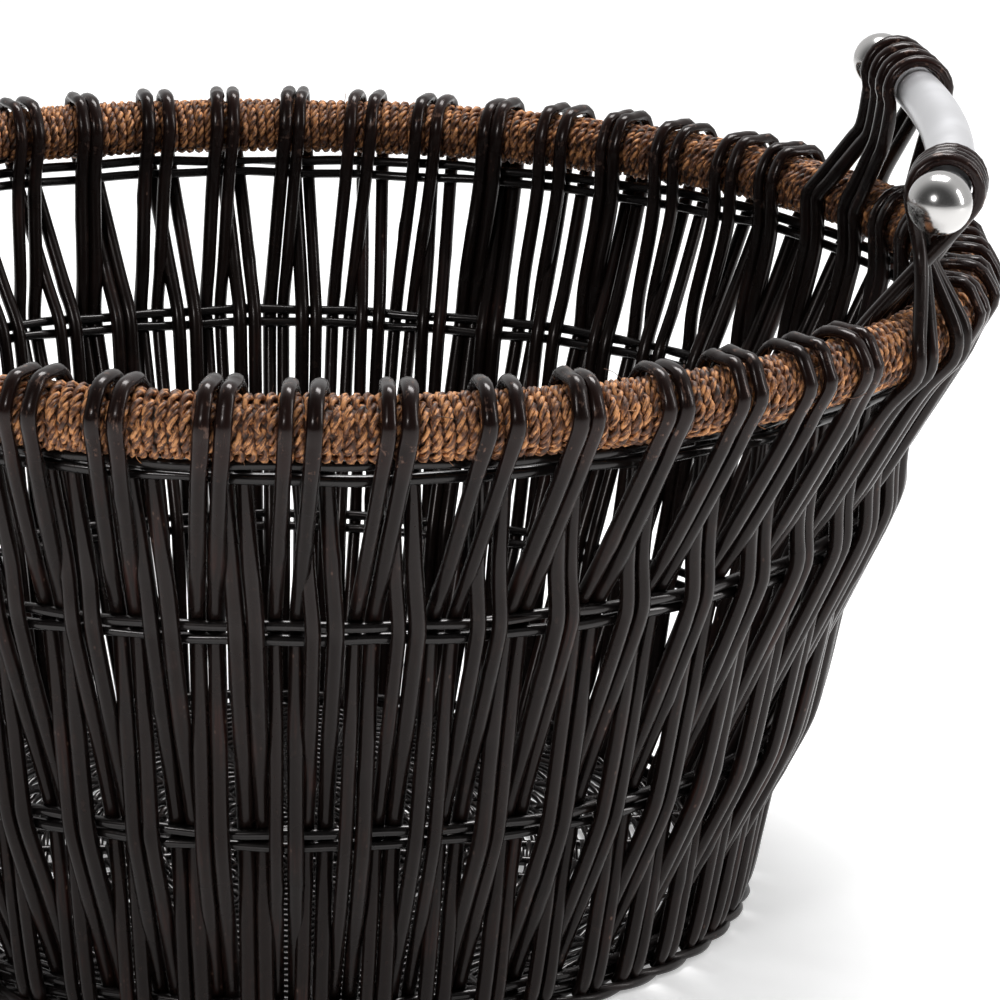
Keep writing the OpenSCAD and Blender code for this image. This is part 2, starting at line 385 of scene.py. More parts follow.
class RodSweepTree:
    """Geometry nodes that turn paths into round rods.

    Each point of a path carries its rod's thickness, length so far and tint, and how far the rod is
    pressed flat there. The tree adds knots and a slow ripple, and leaves the grain coordinates on the
    mesh for the materials.
    """

    NAME = "rod_sweep"
    PROFILE_R = 1.0 * MM

    def __init__(self) -> None:
        """Builds the tree."""
        self.tree = start_tree(self.NAME, (
            ("Sides", "Int"), ("Ripple", "Float"), ("Ripple Length", "Float"), ("Knot Height", "Float"),
            ("Knot Spacing", "Float"), ("Seed", "Float"), ("Material", "Material"),
        ))
        self._build(NodeGraph(self.tree))

    @staticmethod
    def _named(graph: NodeGraph, name: str, kind: str = "FLOAT") -> bpy.types.NodeSocket:
        """Reads an attribute of the paths."""
        node = graph.add("GeometryNodeInputNamedAttribute", {"Name": name}, data_type=kind)
        return node.outputs["Attribute"]

    def _build(self, g: NodeGraph) -> None:
        """Adds the nodes: sweep, shape, grain coordinates, material."""
        given = g.add("NodeGroupInput").outputs
        curve = g.add("GeometryNodeMeshToCurve", {0: given["Geometry"]}).outputs[0]
        circle = g.add(
            "GeometryNodeCurvePrimitiveCircle",
            {"Resolution": given["Sides"], "Radius": self.PROFILE_R},
            mode="RADIUS",
        ).outputs[0]
        turn = g.math("MULTIPLY", g.add("GeometryNodeSplineParameter").outputs["Factor"], math.tau)
        profile = g.add(
            "GeometryNodeStoreNamedAttribute",
            {"Geometry": circle, "Name": "around", "Value": turn},
            data_type="FLOAT",
            domain="POINT",
        ).outputs[0]
        swept = g.add(
            "GeometryNodeCurveToMesh",
            {"Curve": curve, "Profile Curve": profile, "Fill Caps": True},
        ).outputs[0]
        along, tint = self._named(g, "along"), self._named(g, "tint")
        radius, around = self._named(g, "rod_r"), self._named(g, "around")
        cos, sin = g.math("COSINE", around), g.math("SINE", around)
        shift = g.math("MULTIPLY_ADD", tint, 37.0, given["Seed"])
        slow = g.add("ShaderNodeCombineXYZ", {
            0: g.math("ADD", g.math("DIVIDE", along, given["Ripple Length"]), shift),
            1: g.math("MULTIPLY", cos, 0.35),
            2: g.math("MULTIPLY", sin, 0.35),
        }).outputs[0]
        ripple = g.math("MULTIPLY", g.math("SUBTRACT", g.noise(slow, 1.0, 2.0), 0.5), given["Ripple"])
        place = g.math("ADD", g.math("DIVIDE", along, given["Knot Spacing"]), g.math("MULTIPLY", shift, 3.3))
        near = g.math("ABSOLUTE", g.math("SUBTRACT", g.math("FRACT", place), 0.5))
        ring = g.ramp(near, 0.045, 0.0)
        knot_turn = g.math("ADD", around, g.math("MULTIPLY", tint, 90.0))
        facing = g.math("MULTIPLY_ADD", g.math("COSINE", knot_turn), 0.5, 0.5)
        one_side = g.math("MULTIPLY_ADD", g.math("POWER", facing, 3.0), 0.8, 0.2)
        knot = g.math("MULTIPLY", g.math("MULTIPLY", ring, one_side), given["Knot Height"])
        grown = g.math("ADD", g.math("MULTIPLY", radius, g.math("ADD", ripple, 1.0)), knot)
        centre = self._named(g, "centre", "FLOAT_VECTOR")
        spoke = g.vector("SUBTRACT", g.add("GeometryNodeInputPosition").outputs[0], centre)
        spoke = g.vector("SCALE", spoke, g.math("DIVIDE", grown, self.PROFILE_R))
        press = self._named(g, "press", "FLOAT_VECTOR")
        depth = g.vector_node("DOT_PRODUCT", spoke, press).outputs["Value"]
        flat = g.vector("SCALE", press, g.math("MULTIPLY", depth, self._named(g, "flat")))
        spoke = g.vector("SUBTRACT", spoke, flat)
        position = g.vector("ADD", centre, spoke)
        shaped = g.add("GeometryNodeSetPosition", {"Geometry": swept, "Position": position})
        grain = g.add("ShaderNodeCombineXYZ", {
            0: g.math("MULTIPLY_ADD", tint, 7.0, along),
            1: g.math("MULTIPLY", cos, radius),
            2: g.math("MULTIPLY", sin, radius),
        }).outputs[0]
        stored = g.add(
            "GeometryNodeStoreNamedAttribute",
            {"Geometry": shaped.outputs[0], "Name": "grain", "Value": grain},
            data_type="FLOAT_VECTOR",
            domain="POINT",
        ).outputs[0]
        knotted = g.add(
            "GeometryNodeStoreNamedAttribute",
            {"Geometry": stored, "Name": "knot", "Value": g.math("MULTIPLY", ring, one_side)},
            data_type="FLOAT",
            domain="POINT",
        ).outputs[0]
        smooth = g.add("GeometryNodeSetShadeSmooth", {"Geometry": knotted}).outputs[0]
        finish_tree(g, smooth, given["Material"])


class FibreTree:
    """Geometry nodes that scatter short stray fibres over a surface."""

    NAME = "stray_fibres"

    def __init__(self) -> None:
        """Builds the tree."""
        self.tree = start_tree(self.NAME, (
            ("Density", "Float"), ("Length", "Float"), ("Thickness", "Float"), ("Seed", "Int"),
            ("Material", "Material"),
        ))
        self._build(NodeGraph(self.tree))

    @staticmethod
    def _build(g: NodeGraph) -> None:
        """Adds the nodes: scatter points, stand a bent fibre on each, dress them."""
        given = g.add("NodeGroupInput").outputs
        scatter = g.add("GeometryNodeDistributePointsOnFaces", {
            "Mesh": given["Geometry"], "Density": given["Density"], "Seed": given["Seed"],
        })
        half = g.math("MULTIPLY", given["Length"], 0.5)
        mid = g.add("ShaderNodeCombineXYZ", {0: g.math("MULTIPLY", half, 0.5), 2: half}).outputs[0]
        end = g.add("ShaderNodeCombineXYZ", {0: given["Length"], 2: g.math("MULTIPLY", half, 1.3)}).outputs[0]
        bow = g.add("GeometryNodeCurveQuadraticBezier", {
            "Resolution": 5, "Start": (0.0, 0.0, 0.0), "Middle": mid, "End": end,
        }).outputs[0]
        thin = g.add("GeometryNodeCurvePrimitiveCircle", {
            "Resolution": 4, "Radius": given["Thickness"],
        }).outputs[0]
        fibre = g.add("GeometryNodeCurveToMesh", {
            "Curve": bow, "Profile Curve": thin, "Fill Caps": True,
        }).outputs[0]
        spin = g.add(
            "FunctionNodeRandomValue",
            {"Min": (-0.5, -0.5, 0.0), "Max": (0.5, 0.5, math.tau), "Seed": given["Seed"]},
            data_type="FLOAT_VECTOR",
        ).outputs[0]
        size = g.add(
            "FunctionNodeRandomValue", {2: 0.4, 3: 1.2, "Seed": given["Seed"]}, data_type="FLOAT"
        ).outputs[1]
        placed = g.add("GeometryNodeInstanceOnPoints", {
            "Points": scatter.outputs["Points"], "Instance": fibre, "Rotation": scatter.outputs["Rotation"],
            "Scale": size,
        }).outputs[0]
        turned = g.add("GeometryNodeRotateInstances", {"Instances": placed, "Rotation": spin}).outputs[0]
        finish_tree(g, turned, given["Material"])


# ---------------------------------------------------------------------------------------------
# Finishes
# ---------------------------------------------------------------------------------------------


class StreakGroup:
    """Shader group with streaks that run along a rod, and slow patches."""

    NAME = "grain_streaks"

    def __init__(self) -> None:
        """Builds the group."""
        self.tree = bpy.data.node_groups.new(self.NAME, "ShaderNodeTree")
        face = self.tree.interface
        for name, value in (("Length Scale", 60.0), ("Cross Scale", 1400.0), ("Patch Scale", 25.0)):
            face.new_socket(name, in_out="INPUT", socket_type="NodeSocketFloat").default_value = value
        for name in ("Streaks", "Patches", "Pits"):
            face.new_socket(name, in_out="OUTPUT", socket_type="NodeSocketFloat")
        g = NodeGraph(self.tree)
        given = g.add("NodeGroupInput").outputs
        grain = g.add("ShaderNodeAttribute", attribute_name="grain").outputs["Vector"]
        stretch = g.add("ShaderNodeCombineXYZ", {
            0: given["Length Scale"], 1: given["Cross Scale"], 2: given["Cross Scale"],
        }).outputs[0]
        streaks = g.noise(g.vector("MULTIPLY", grain, stretch), 1.0, 4.0, 0.6)
        patch = g.vector("SCALE", grain, given["Patch Scale"])
        patches = g.noise(patch, 1.0, 3.0, 0.6)
        dots = g.add("ShaderNodeTexVoronoi", {
            "Vector": g.vector("MULTIPLY", grain, (260.0, 420.0, 420.0)), "Scale": 1.0,
        }).outputs["Distance"]
        g.add("NodeGroupOutput", {"Streaks": streaks, "Patches": patches, "Pits": g.ramp(dots, 0.22, 0.05)})


@dataclass(frozen=True)
class Finish:
    """A surface finish.

    Attributes:
        name: Name of the material.
    """

    name: str

    def build(self, streaks: StreakGroup) -> bpy.types.Material:
        """Builds the material.

        Args:
            streaks: The shared group of grain streaks.

        Returns:
            The material.
        """
        material = bpy.data.materials.new(self.name)
        material.use_nodes = True
        tree = material.node_tree
        tree.nodes.clear()
        graph = NodeGraph(tree)
        shader = graph.add("ShaderNodeBsdfPrincipled")
        graph.add("ShaderNodeOutputMaterial", {"Surface": shader.outputs[0]})
        self.dress(graph, shader, streaks)
        return material

    def dress(self, g: NodeGraph, shader: bpy.types.Node, streaks: StreakGroup) -> None:
        """Sets the shader's sockets."""
        raise NotImplementedError

    @staticmethod
    def join(g: NodeGraph, shader: bpy.types.Node, **sockets) -> None:
        """Joins sockets or values to the shader's inputs, named with underscores for spaces."""
        for name, value in sockets.items():
            socket = shader.inputs[name.replace("_", " ")]
            if isinstance(value, bpy.types.NodeSocket):
                g.tree.links.new(value, socket)
            else:
                socket.default_value = value


@dataclass(frozen=True)
class WillowFinish(Finish):
    """Dark stained and lacquered willow.

    Attributes:
        stain: Main colour.
        thin_stain: Colour where the stain is thin.
        bare: Colour of the bare wood at scuffs and flecks.
        roughness: Lowest and highest roughness.
        coat: Weight of the lacquer.
        scuff: Strength of the scuffs at the bends.
        sheen: Tint of the reflections.
    """

    stain: tuple[float, float, float] = (0.0062, 0.0036, 0.0031)
    thin_stain: tuple[float, float, float] = (0.026, 0.0085, 0.0062)
    bare: tuple[float, float, float] = (0.24, 0.14, 0.105)
    roughness: tuple[float, float] = (0.20, 0.40)
    coat: float = 0.10
    scuff: float = 1.0
    sheen: tuple[float, float, float, float] = (1.0, 0.91, 0.89, 1.0)

    def dress(self, g: NodeGraph, shader: bpy.types.Node, streaks: StreakGroup) -> None:
        """Sets colour, gloss and relief from the rod's own grain coordinates."""
        grain = g.add("ShaderNodeGroup", node_tree=streaks.tree)
        streak, patch, pits = (grain.outputs[n] for n in ("Streaks", "Patches", "Pits"))
        tint = g.add("ShaderNodeAttribute", attribute_name="tint").outputs["Fac"]
        wear = g.add("ShaderNodeAttribute", attribute_name="wear").outputs["Fac"]
        knot = g.add("ShaderNodeAttribute", attribute_name="knot").outputs["Fac"]
        stain, thin = (*self.stain, 1.0), (*self.thin_stain, 1.0)
        blots = g.add("ShaderNodeGroup", {"Patch Scale": 330.0}, node_tree=streaks.tree).outputs["Patches"]
        red = g.math("MULTIPLY", g.ramp(patch, 0.50, 0.68), g.ramp(streak, 0.35, 0.75), clamp=True)
        colour = g.mix_colour(g.math("MAXIMUM", red, g.math("MULTIPLY", wear, 0.25)), stain, thin)
        shade = g.math("MULTIPLY_ADD", tint, 0.55, 0.72)
        shade = g.math("MULTIPLY", shade, g.ramp(streak, 0.2, 0.8, 0.82, 1.15))
        shade = g.math("MULTIPLY", shade, g.ramp(knot, 0.0, 1.0, 1.0, 0.55))
        grey = g.add("ShaderNodeCombineColor", {0: shade, 1: shade, 2: shade}).outputs[0]
        colour = g.mix_colour(1.0, colour, grey, "MULTIPLY")
        worn = g.math("MULTIPLY_ADD", streak, 0.35, blots)
        rub = g.math("MULTIPLY", wear, g.ramp(worn, 0.76, 0.92, 0.0, 0.55))
        rub = g.math("MULTIPLY", rub, self.scuff, clamp=True)
        fleck = g.math("MULTIPLY", g.math("MULTIPLY", pits, g.ramp(patch, 0.53, 0.66)), 0.45)
        colour = g.mix_colour(g.math("MAXIMUM", rub, fleck), colour, (*self.bare, 1.0))
        low, high = self.roughness
        rough = g.ramp(g.math("MULTIPLY_ADD", rub, 0.6, patch), 0.3, 0.8, low, high)
        rough = g.math("MULTIPLY", rough, g.ramp(wear, 0.3, 1.0, 1.0, 0.75))
        height = g.math("MULTIPLY_ADD", streak, 0.7, g.math("MULTIPLY", pits, -0.5))
        bump = g.add("ShaderNodeBump", {"Strength": 0.35, "Distance": 0.12 * MM, "Height": height}).outputs[0]
        self.join(g, shader, Base_Color=colour, Roughness=rough, Normal=bump)
        self.join(g, shader, Coat_Weight=self.coat, Coat_Roughness=0.10, Specular_IOR_Level=0.19,
                  Specular_Tint=self.sheen)


@dataclass(frozen=True)
class SeagrassFinish(Finish):
    """Twisted brown seagrass with nearly black blades and golden ones.

    Attributes:
        dark: Colour of the darkest blades.
        brown: Colour of most blades.
        gold: Colour of the lightest blades.
    """

    dark: tuple[float, float, float] = (0.016, 0.0065, 0.0035)
    brown: tuple[float, float, float] = (0.145, 0.057, 0.028)
    gold: tuple[float, float, float] = (0.66, 0.30, 0.115)

    def dress(self, g: NodeGraph, shader: bpy.types.Node, streaks: StreakGroup) -> None:
        """Sets the colours of the blades and the fine relief along them."""
        grain = g.add("ShaderNodeGroup", {"Length Scale": 420.0, "Cross Scale": 4200.0, "Patch Scale": 420.0},
                      node_tree=streaks.tree)
        streak, patch = grain.outputs["Streaks"], grain.outputs["Patches"]
        tint = g.add("ShaderNodeAttribute", attribute_name="tint").outputs["Fac"]
        light = g.math("MULTIPLY_ADD", patch, 1.5, g.math("MULTIPLY", streak, 0.75))
        light = g.math("MULTIPLY_ADD", tint, 0.12, light)
        colour = g.mix_colour(g.ramp(light, 0.94, 1.20), (*self.dark, 1.0), (*self.brown, 1.0))
        colour = g.mix_colour(g.ramp(light, 1.17, 1.42), colour, (*self.gold, 1.0))
        rough = g.ramp(streak, 0.3, 0.7, 0.42, 0.7)
        bump = g.add("ShaderNodeBump", {"Strength": 0.6, "Distance": 0.12 * MM, "Height": streak}).outputs[0]
        self.join(g, shader, Base_Color=colour, Roughness=rough, Normal=bump)
        self.join(g, shader, Specular_IOR_Level=0.5)


@dataclass(frozen=True)
class MetalFinish(Finish):
    """Bare or plated metal with faint wipe marks.

    Attributes:
        colour: Colour of the metal.
        roughness: Lowest and highest roughness.
        metallic: How metallic the surface is.
        brushed: Strength of the fine brushed lines; 0 leaves them out.
    """

    colour: tuple[float, float, float] = (0.8, 0.8, 0.82)
    roughness: tuple[float, float] = (0.05, 0.12)
    metallic: float = 1.0
    brushed: float = 0.0

    def dress(self, g: NodeGraph, shader: bpy.types.Node, streaks: StreakGroup) -> None:
        """Sets the gloss, with soft smears and fine lines."""
        place = g.add("ShaderNodeTexCoord").outputs["Object"]
        smear = g.noise(place, 60.0, 3.0, 0.5)
        tone = g.ramp(smear, 0.3, 0.7, 0.93, 1.0)
        grey = g.add("ShaderNodeCombineColor", {0: tone, 1: tone, 2: tone}).outputs[0]
        colour = g.mix_colour(1.0, (*self.colour, 1.0), grey, "MULTIPLY")
        low, high = self.roughness
        rough = g.ramp(smear, 0.35, 0.75, low, high)
        self.join(g, shader, Base_Color=colour, Roughness=rough, Metallic=self.metallic)
        if self.brushed > 0:
            lines = g.noise(g.vector("MULTIPLY", place, (900.0, 9000.0, 900.0)), 1.0, 2.0)
            bump = g.add("ShaderNodeBump", {"Strength": self.brushed, "Distance": 0.02 * MM, "Height": lines})
            self.join(g, shader, Normal=bump.outputs[0])


@dataclass(frozen=True)
class StudioFloorFinish(Finish):
    """Pale seamless studio floor."""

    def dress(self, g: NodeGraph, shader: bpy.types.Node, streaks: StreakGroup) -> None:
        """Sets a pale matt surface with a trace of mottling."""
        place = g.add("ShaderNodeTexCoord").outputs["Object"]
        tone = g.ramp(g.noise(place, 3.0, 2.0), 0.3, 0.7, 0.93, 0.95)
        grey = g.add("ShaderNodeCombineColor", {0: tone, 1: tone, 2: tone}).outputs[0]
        self.join(g, shader, Base_Color=grey, Roughness=0.9, Specular_IOR_Level=0.1)
        self.join(g, shader, Emission_Color=(1.0, 1.0, 1.0, 1.0), Emission_Strength=0.3)


# ---------------------------------------------------------------------------------------------
# Rods
# ---------------------------------------------------------------------------------------------


def resample(points: np.ndarray, step: float) -> np.ndarray:
    """Spaces the points of a path evenly.

    Args:
        points: The path, one row per point.
        step: Distance between the new points.

    Returns:
        The new points; the columns after the third are carried along.
    """
    gaps = np.linalg.norm(np.diff(points[:, :3], axis=0), axis=1)
    length = np.concatenate([[0.0], np.cumsum(gaps)])
    count = max(3, int(round(length[-1] / step)) + 1)
    places = np.linspace(0.0, length[-1], count)
    return np.stack([np.interp(places, length, points[:, i]) for i in range(points.shape[1])], axis=1)


def smooth_through(points: np.ndarray, per_span: int = 14) -> np.ndarray:
    """Runs a smooth curve through points.

    Args:
        points: The points, one row each, with any number of columns.
        per_span: Steps between neighbouring points.

    Returns:
        The points of a centripetal Catmull-Rom curve.
    """
    ends = np.concatenate([[2 * points[0] - points[1]], points, [2 * points[-1] - points[-2]]])
    gaps = np.maximum(np.linalg.norm(np.diff(ends[:, :3], axis=0), axis=1), 1e-9) ** 0.5
    knots = np.concatenate([[0.0], np.cumsum(gaps)])
    out = []
    for i in range(len(points) - 1):
        t0, t1, t2, t3 = knots[i : i + 4]
        p0, p1, p2, p3 = ends[i : i + 4]
        t = np.linspace(t1, t2, per_span, endpoint=False)[:, None]
        a1 = (t1 - t) / (t1 - t0) * p0 + (t - t0) / (t1 - t0) * p1
        a2 = (t2 - t) / (t2 - t1) * p1 + (t - t1) / (t2 - t1) * p2
        a3 = (t3 - t) / (t3 - t2) * p2 + (t - t2) / (t3 - t2) * p3
        b1 = (t2 - t) / (t2 - t0) * a1 + (t - t0) / (t2 - t0) * a2
        b2 = (t3 - t) / (t3 - t1) * a2 + (t - t1) / (t3 - t1) * a3
        out.append((t2 - t) / (t2 - t1) * b1 + (t - t1) / (t2 - t1) * b2)
    out.append(points[-1:])
    return np.concatenate(out)


def ring_path(reach: np.ndarray | float, angle: np.ndarray, height: np.ndarray | float) -> np.ndarray:
    """Gives the points at a radius, an angle about the basket's axis and a height.

    Args:
        reach: Radius of each point, or of all.
        angle: Angle of each point.
        height: Height of each point, or of all.

    Returns:
        The points, one row each.
    """
    return np.stack(np.broadcast_arrays(reach * np.cos(angle), reach * np.sin(angle), height), axis=1)


@dataclass
class Rod:
    """One rod along a path.

    Attributes:
        path: Points of the rod's middle.
        radius: Radius at each point.
        tint: Random tone of the rod, from 0 to 1.
        wear: How worn the rod is at each point.
        flat: Share by which the rod is pressed flat at each point.
        press: Direction in which it is pressed, at each point.
    """

    path: np.ndarray
    radius: np.ndarray
    tint: float
    wear: np.ndarray | None = None
    flat: np.ndarray | None = None
    press: np.ndarray | None = None

    def __post_init__(self) -> None:
        """Makes the rod round and unworn where nothing else is given."""
        count = len(self.path)
        self.wear = np.zeros(count) if self.wear is None else self.wear
        self.flat = np.zeros(count) if self.flat is None else self.flat
        self.press = np.tile(UP, (count, 1)) if self.press is None else self.press


@dataclass
class RodBundle:
    """Rods that become one mesh through the sweep tree.

    Attributes:
        name: Name of the piece.
        material: Its finish.
        sides: Sides of a rod's section.
        ripple: Share by which a rod's thickness varies.
        ripple_length: Length of that ripple.
        knot_height: How far a knot stands out.
        knot_spacing: Distance between knots.
        seed: Shifts the ripple and the knots.
        rods: The rods.
    """

    name: str
    material: bpy.types.Material
    sides: int = 12
    ripple: float = 0.10
    ripple_length: float = 0.03
    knot_height: float = 0.0
    knot_spacing: float = 0.09
    seed: float = 0.0
    rods: list[Rod] = field(default_factory=list)

    def build(self, sweep: RodSweepTree) -> bpy.types.Object:
        """Sweeps the rods into a plain mesh.

        Args:
            sweep: The tree that makes rods from paths.

        Returns:
            The finished object.
        """
        points = np.concatenate([rod.path for rod in self.rods])
        edges, along, first = [], [], 0
        for rod in self.rods:
            count = len(rod.path)
            index = np.arange(first, first + count - 1)
            edges.append(np.stack([index, index + 1], axis=1))
            gaps = np.linalg.norm(np.diff(rod.path, axis=0), axis=1)
            along.append(np.concatenate([[0.0], np.cumsum(gaps)]))
            first += count
        edges = np.concatenate(edges)
        mesh = bpy.data.meshes.new(self.name)
        mesh.vertices.add(len(points))
        mesh.vertices.foreach_set("co", points.astype(np.float32).ravel())
        mesh.edges.add(len(edges))
        mesh.edges.foreach_set("vertices", edges.astype(np.int32).ravel())
        for name, parts in (
            ("along", along),
            ("tint", [np.full(len(rod.path), rod.tint) for rod in self.rods]),
            ("rod_r", [rod.radius for rod in self.rods]),
            ("wear", [rod.wear for rod in self.rods]),
            ("flat", [rod.flat for rod in self.rods]),
            ("press", [rod.press for rod in self.rods]),
            ("centre", [points]),
        ):
            self._store(mesh, name, np.concatenate(parts))
        mesh.update()
        source = bpy.data.objects.new(self.name + "_paths", mesh)
        bpy.context.scene.collection.objects.link(source)
        values = {
            "Sides": self.sides, "Ripple": self.ripple, "Ripple Length": self.ripple_length,
            "Knot Height": self.knot_height, "Knot Spacing": self.knot_spacing, "Seed": self.seed,
            "Material": self.material,
        }
        return bake_nodes(source, sweep.tree, values, self.name)

    @staticmethod
    def _store(mesh: bpy.types.Mesh, name: str, values: np.ndarray) -> None:
        """Stores numbers or vectors on the mesh's points."""
        vector = values.ndim == 2
        attribute = mesh.attributes.new(name, "FLOAT_VECTOR" if vector else "FLOAT", "POINT")
        attribute.data.foreach_set("vector" if vector else "value", values.astype(np.float32).ravel())


def bake_nodes(
    source: bpy.types.Object, tree: bpy.types.NodeTree, values: dict, name: str
) -> bpy.types.Object:
    """Runs a geometry tree on an object and keeps the result as a plain mesh.

    Args:
        source: The object that the tree starts from; it is removed.
        tree: The geometry tree.
        values: Values of the tree's inputs, by name.
        name: Name of the new object.

    Returns:
        The new object, with no modifier.
    """
    modifier = source.modifiers.new("nodes", "NODES")
    modifier.node_group = tree
    for item in tree.interface.items_tree:
        if item.item_type == "SOCKET" and item.in_out == "INPUT" and item.name in values:
            modifier[item.identifier] = values[item.name]
    source.update_tag()
    graph = bpy.context.evaluated_depsgraph_get()
    mesh = bpy.data.meshes.new_from_object(
        source.evaluated_get(graph), preserve_all_data_layers=True, depsgraph=graph
    )
    mesh.name = name
    for spare in ("centre", "press", "flat", "rod_r", "around", "along"):
        if spare in mesh.attributes:
            mesh.attributes.remove(mesh.attributes[spare])
    result = bpy.data.objects.new(name, mesh)
    bpy.context.scene.collection.objects.link(result)
    bpy.data.objects.remove(source, do_unlink=True)
    return result


# ---------------------------------------------------------------------------------------------
# The wall
# ---------------------------------------------------------------------------------------------


@dataclass
class StakeWall:
    """The hairpin stakes and the loop stakes of the grips.

    Attributes:
        plan: Sizes of the basket.
        grip: Sizes of the grips.
        material: Finish of the stakes.
        sweep: Tree that makes the rods.
        point_step: Distance between the points of a path.
        touch: Gap between a leg and the hoops that hold it.
        neck_out: How far an outer leg stands off the neck row, beyond its touch.
        neck_in: How far an inner leg is drawn in at the neck row.
        foot_drop: How far the legs reach below the foot row.
        row_rise: Half the height over which a leg lies against a row.
        rim_lean: Share of the legs' full spread that they have at the rim.
        lean_drop: Drop over which the legs would spread from nothing to full.
        angle_jitter: Largest random turn of a pair.
        spread_most: Half the largest gap between the rods of a pair, at the rim.
        spread_drop: Distance below the rim over which most of that gap closes.
        bend: Angles of the bend over the rim, 0 outside and 90 on top.
        creased: Which points of the bend are creased.
        corner: Angle of the bend's two corners from its top, in degrees.
        corner_width: Reach of a corner, in degrees.
        loop_clearance: Gap between a loop rod and the tube.
        elbow: How far below the tube's axis a loop rod leaves its turn.
        crease_reach: Reach of a crease along the rod.
        rng: Source of the random differences.
    """

    plan: BasketPlan
    grip: GripPlan
    material: bpy.types.Material
    sweep: RodSweepTree
    point_step: float = 2.4 * MM
    touch: float = 0.15 * MM
    neck_out: float = 3.4 * MM
    neck_in: float = 0.9 * MM
    foot_drop: float = 5.0 * MM
    row_rise: float = 2.4 * MM
    rim_lean: float = 0.18
    lean_drop: float = 71 * MM
    angle_jitter: float = math.radians(0.55)
    spread_most: float = 1.7 * MM
    spread_drop: float = 90 * MM
    bend: tuple[int, ...] = (176, 150, 124, 117, 90, 63, 56, 34, 10)
    creased: tuple[int, ...] = (2, 5, 7)
    corner: float = 29.0
    corner_width: float = 24.0
    loop_clearance: float = 0.35 * MM
    elbow: float = 17 * MM
    crease_reach: float = 1.9 * MM
    rng: np.random.Generator = field(default_factory=lambda: np.random.default_rng(7))

    def __post_init__(self) -> None:
        """Chooses each pair's own small differences."""
        count = self.plan.pairs
        self.jitter = self.rng.uniform(-1, 1, count) * self.angle_jitter
        self.drift = self.rng.uniform(-1, 1, count) * self.angle_jitter * 0.8
        self.spread = self.rng.uniform(0.0, 1.0, count) ** 1.5 * self.spread_most
        self.over_r = self.plan.bound_r + self.plan.stake_r * 0.78

    def leg_angle(self, pair: int, out: int, z: float) -> float:
        """Gives the angle of a leg at height z.

        Args:
            pair: Number of the pair.
            out: 1 for the outer leg and -1 for the inner leg.
            z: Height.

        Returns:
            The angle about the basket's axis.
        """
        below = max(0.0, self.plan.rim_z - z)
        share = min(1.0, self.rim_lean + below / self.lean_drop)
        drift = out * self.drift[pair] * min(1.0, below / self.plan.rim_z)
        angle = self.plan.pair_angle(pair) + self.jitter[pair] * (1.0 - 0.8 * share) + drift
        return angle - out * share * self.plan.pair_step / 4

    def leg(self, pair: int, out: int, rod: int, sway: float) -> list[list[float]]:
        """Gives the points of one leg.

        Args:
            pair: Number of the pair.
            out: 1 for the outer leg and -1 for the inner leg.
            rod: -1 or 1, which rod of the pair.
            sway: Small push outwards of this rod between the rows.

        Returns:
            The points, from below the foot row up to the neck row.
        """
        plan, points = self.plan, []
        hold = plan.hoop_r + plan.stake_r + self.touch
        foot = plan.rows[0]
        neck = plan.rows[-1]
        stations = [(foot.z - self.foot_drop, out * foot.side * hold * 0.9)]
        for row, above in zip(plan.rows, plan.rows[1:]):
            side = out * row.side * hold
            stations += [(row.z - self.row_rise, side), (row.z + self.row_rise, side)]
            between = 0.34 if above is neck else 0.5
            stations.append((row.z + between * (above.z - row.z), sway))
        stations.append((neck.z, out * neck.side * hold + (self.neck_out if out > 0 else -self.neck_in)))
        for z, side in stations:
            angle = self.leg_angle(pair, out, z)
            radius = plan.wall_r(z) + side
            points.append(self.place(radius, angle, z, rod * self.half_gap(pair, z)))
        return points

    def half_gap(self, pair: int, z: float) -> float:
        """Gives half the distance between the middles of a pair's two rods at height z."""
        share = min(1.0, max(0.0, (self.plan.rim_z - z) / self.spread_drop))
        return self.plan.stake_r + self.spread[pair] * (1 - 0.75 * share)

    @staticmethod
    def place(radius: float, angle: float, z: float, off: float) -> list[float]:
        """Gives a point at a radius and an angle, moved sideways along the rim."""
        cos, sin = math.cos(angle), math.sin(angle)
        return [radius * cos - off * sin, radius * sin + off * cos, z]

    def over_rim(
        self, pair: int, rod: int, degrees: Iterable[float], lift: float, knuckle: float = 0.0
    ) -> list[list[float]]:
        """Gives points of the bend over the bound rim.

        Args:
            pair: Number of the pair.
            rod: -1 or 1, which rod of the pair.
            degrees: Angles round the rim's section, 0 outside and 90 on top.
            lift: How far this rod stands off the cord.
            knuckle: How far the corners of the bend stand out.

        Returns:
            The points.
        """
        angle = self.plan.pair_angle(pair) + self.jitter[pair]
        off = rod * self.half_gap(pair, self.plan.rim_z)
        points = []
        for degree in degrees:
            turn = math.radians(degree)
            corner = max(0.0, 1.0 - abs(abs(degree - 90.0) - self.corner) / self.corner_width)
            radius = self.over_r + lift + knuckle * corner
            reach = self.plan.rim_r + radius * math.cos(turn)
            lean = self.rim_lean * math.cos(turn) * self.plan.pair_step / 4
            points.append(self.place(reach, angle - lean, self.plan.rim_z + radius * math.sin(turn), off))
        return points

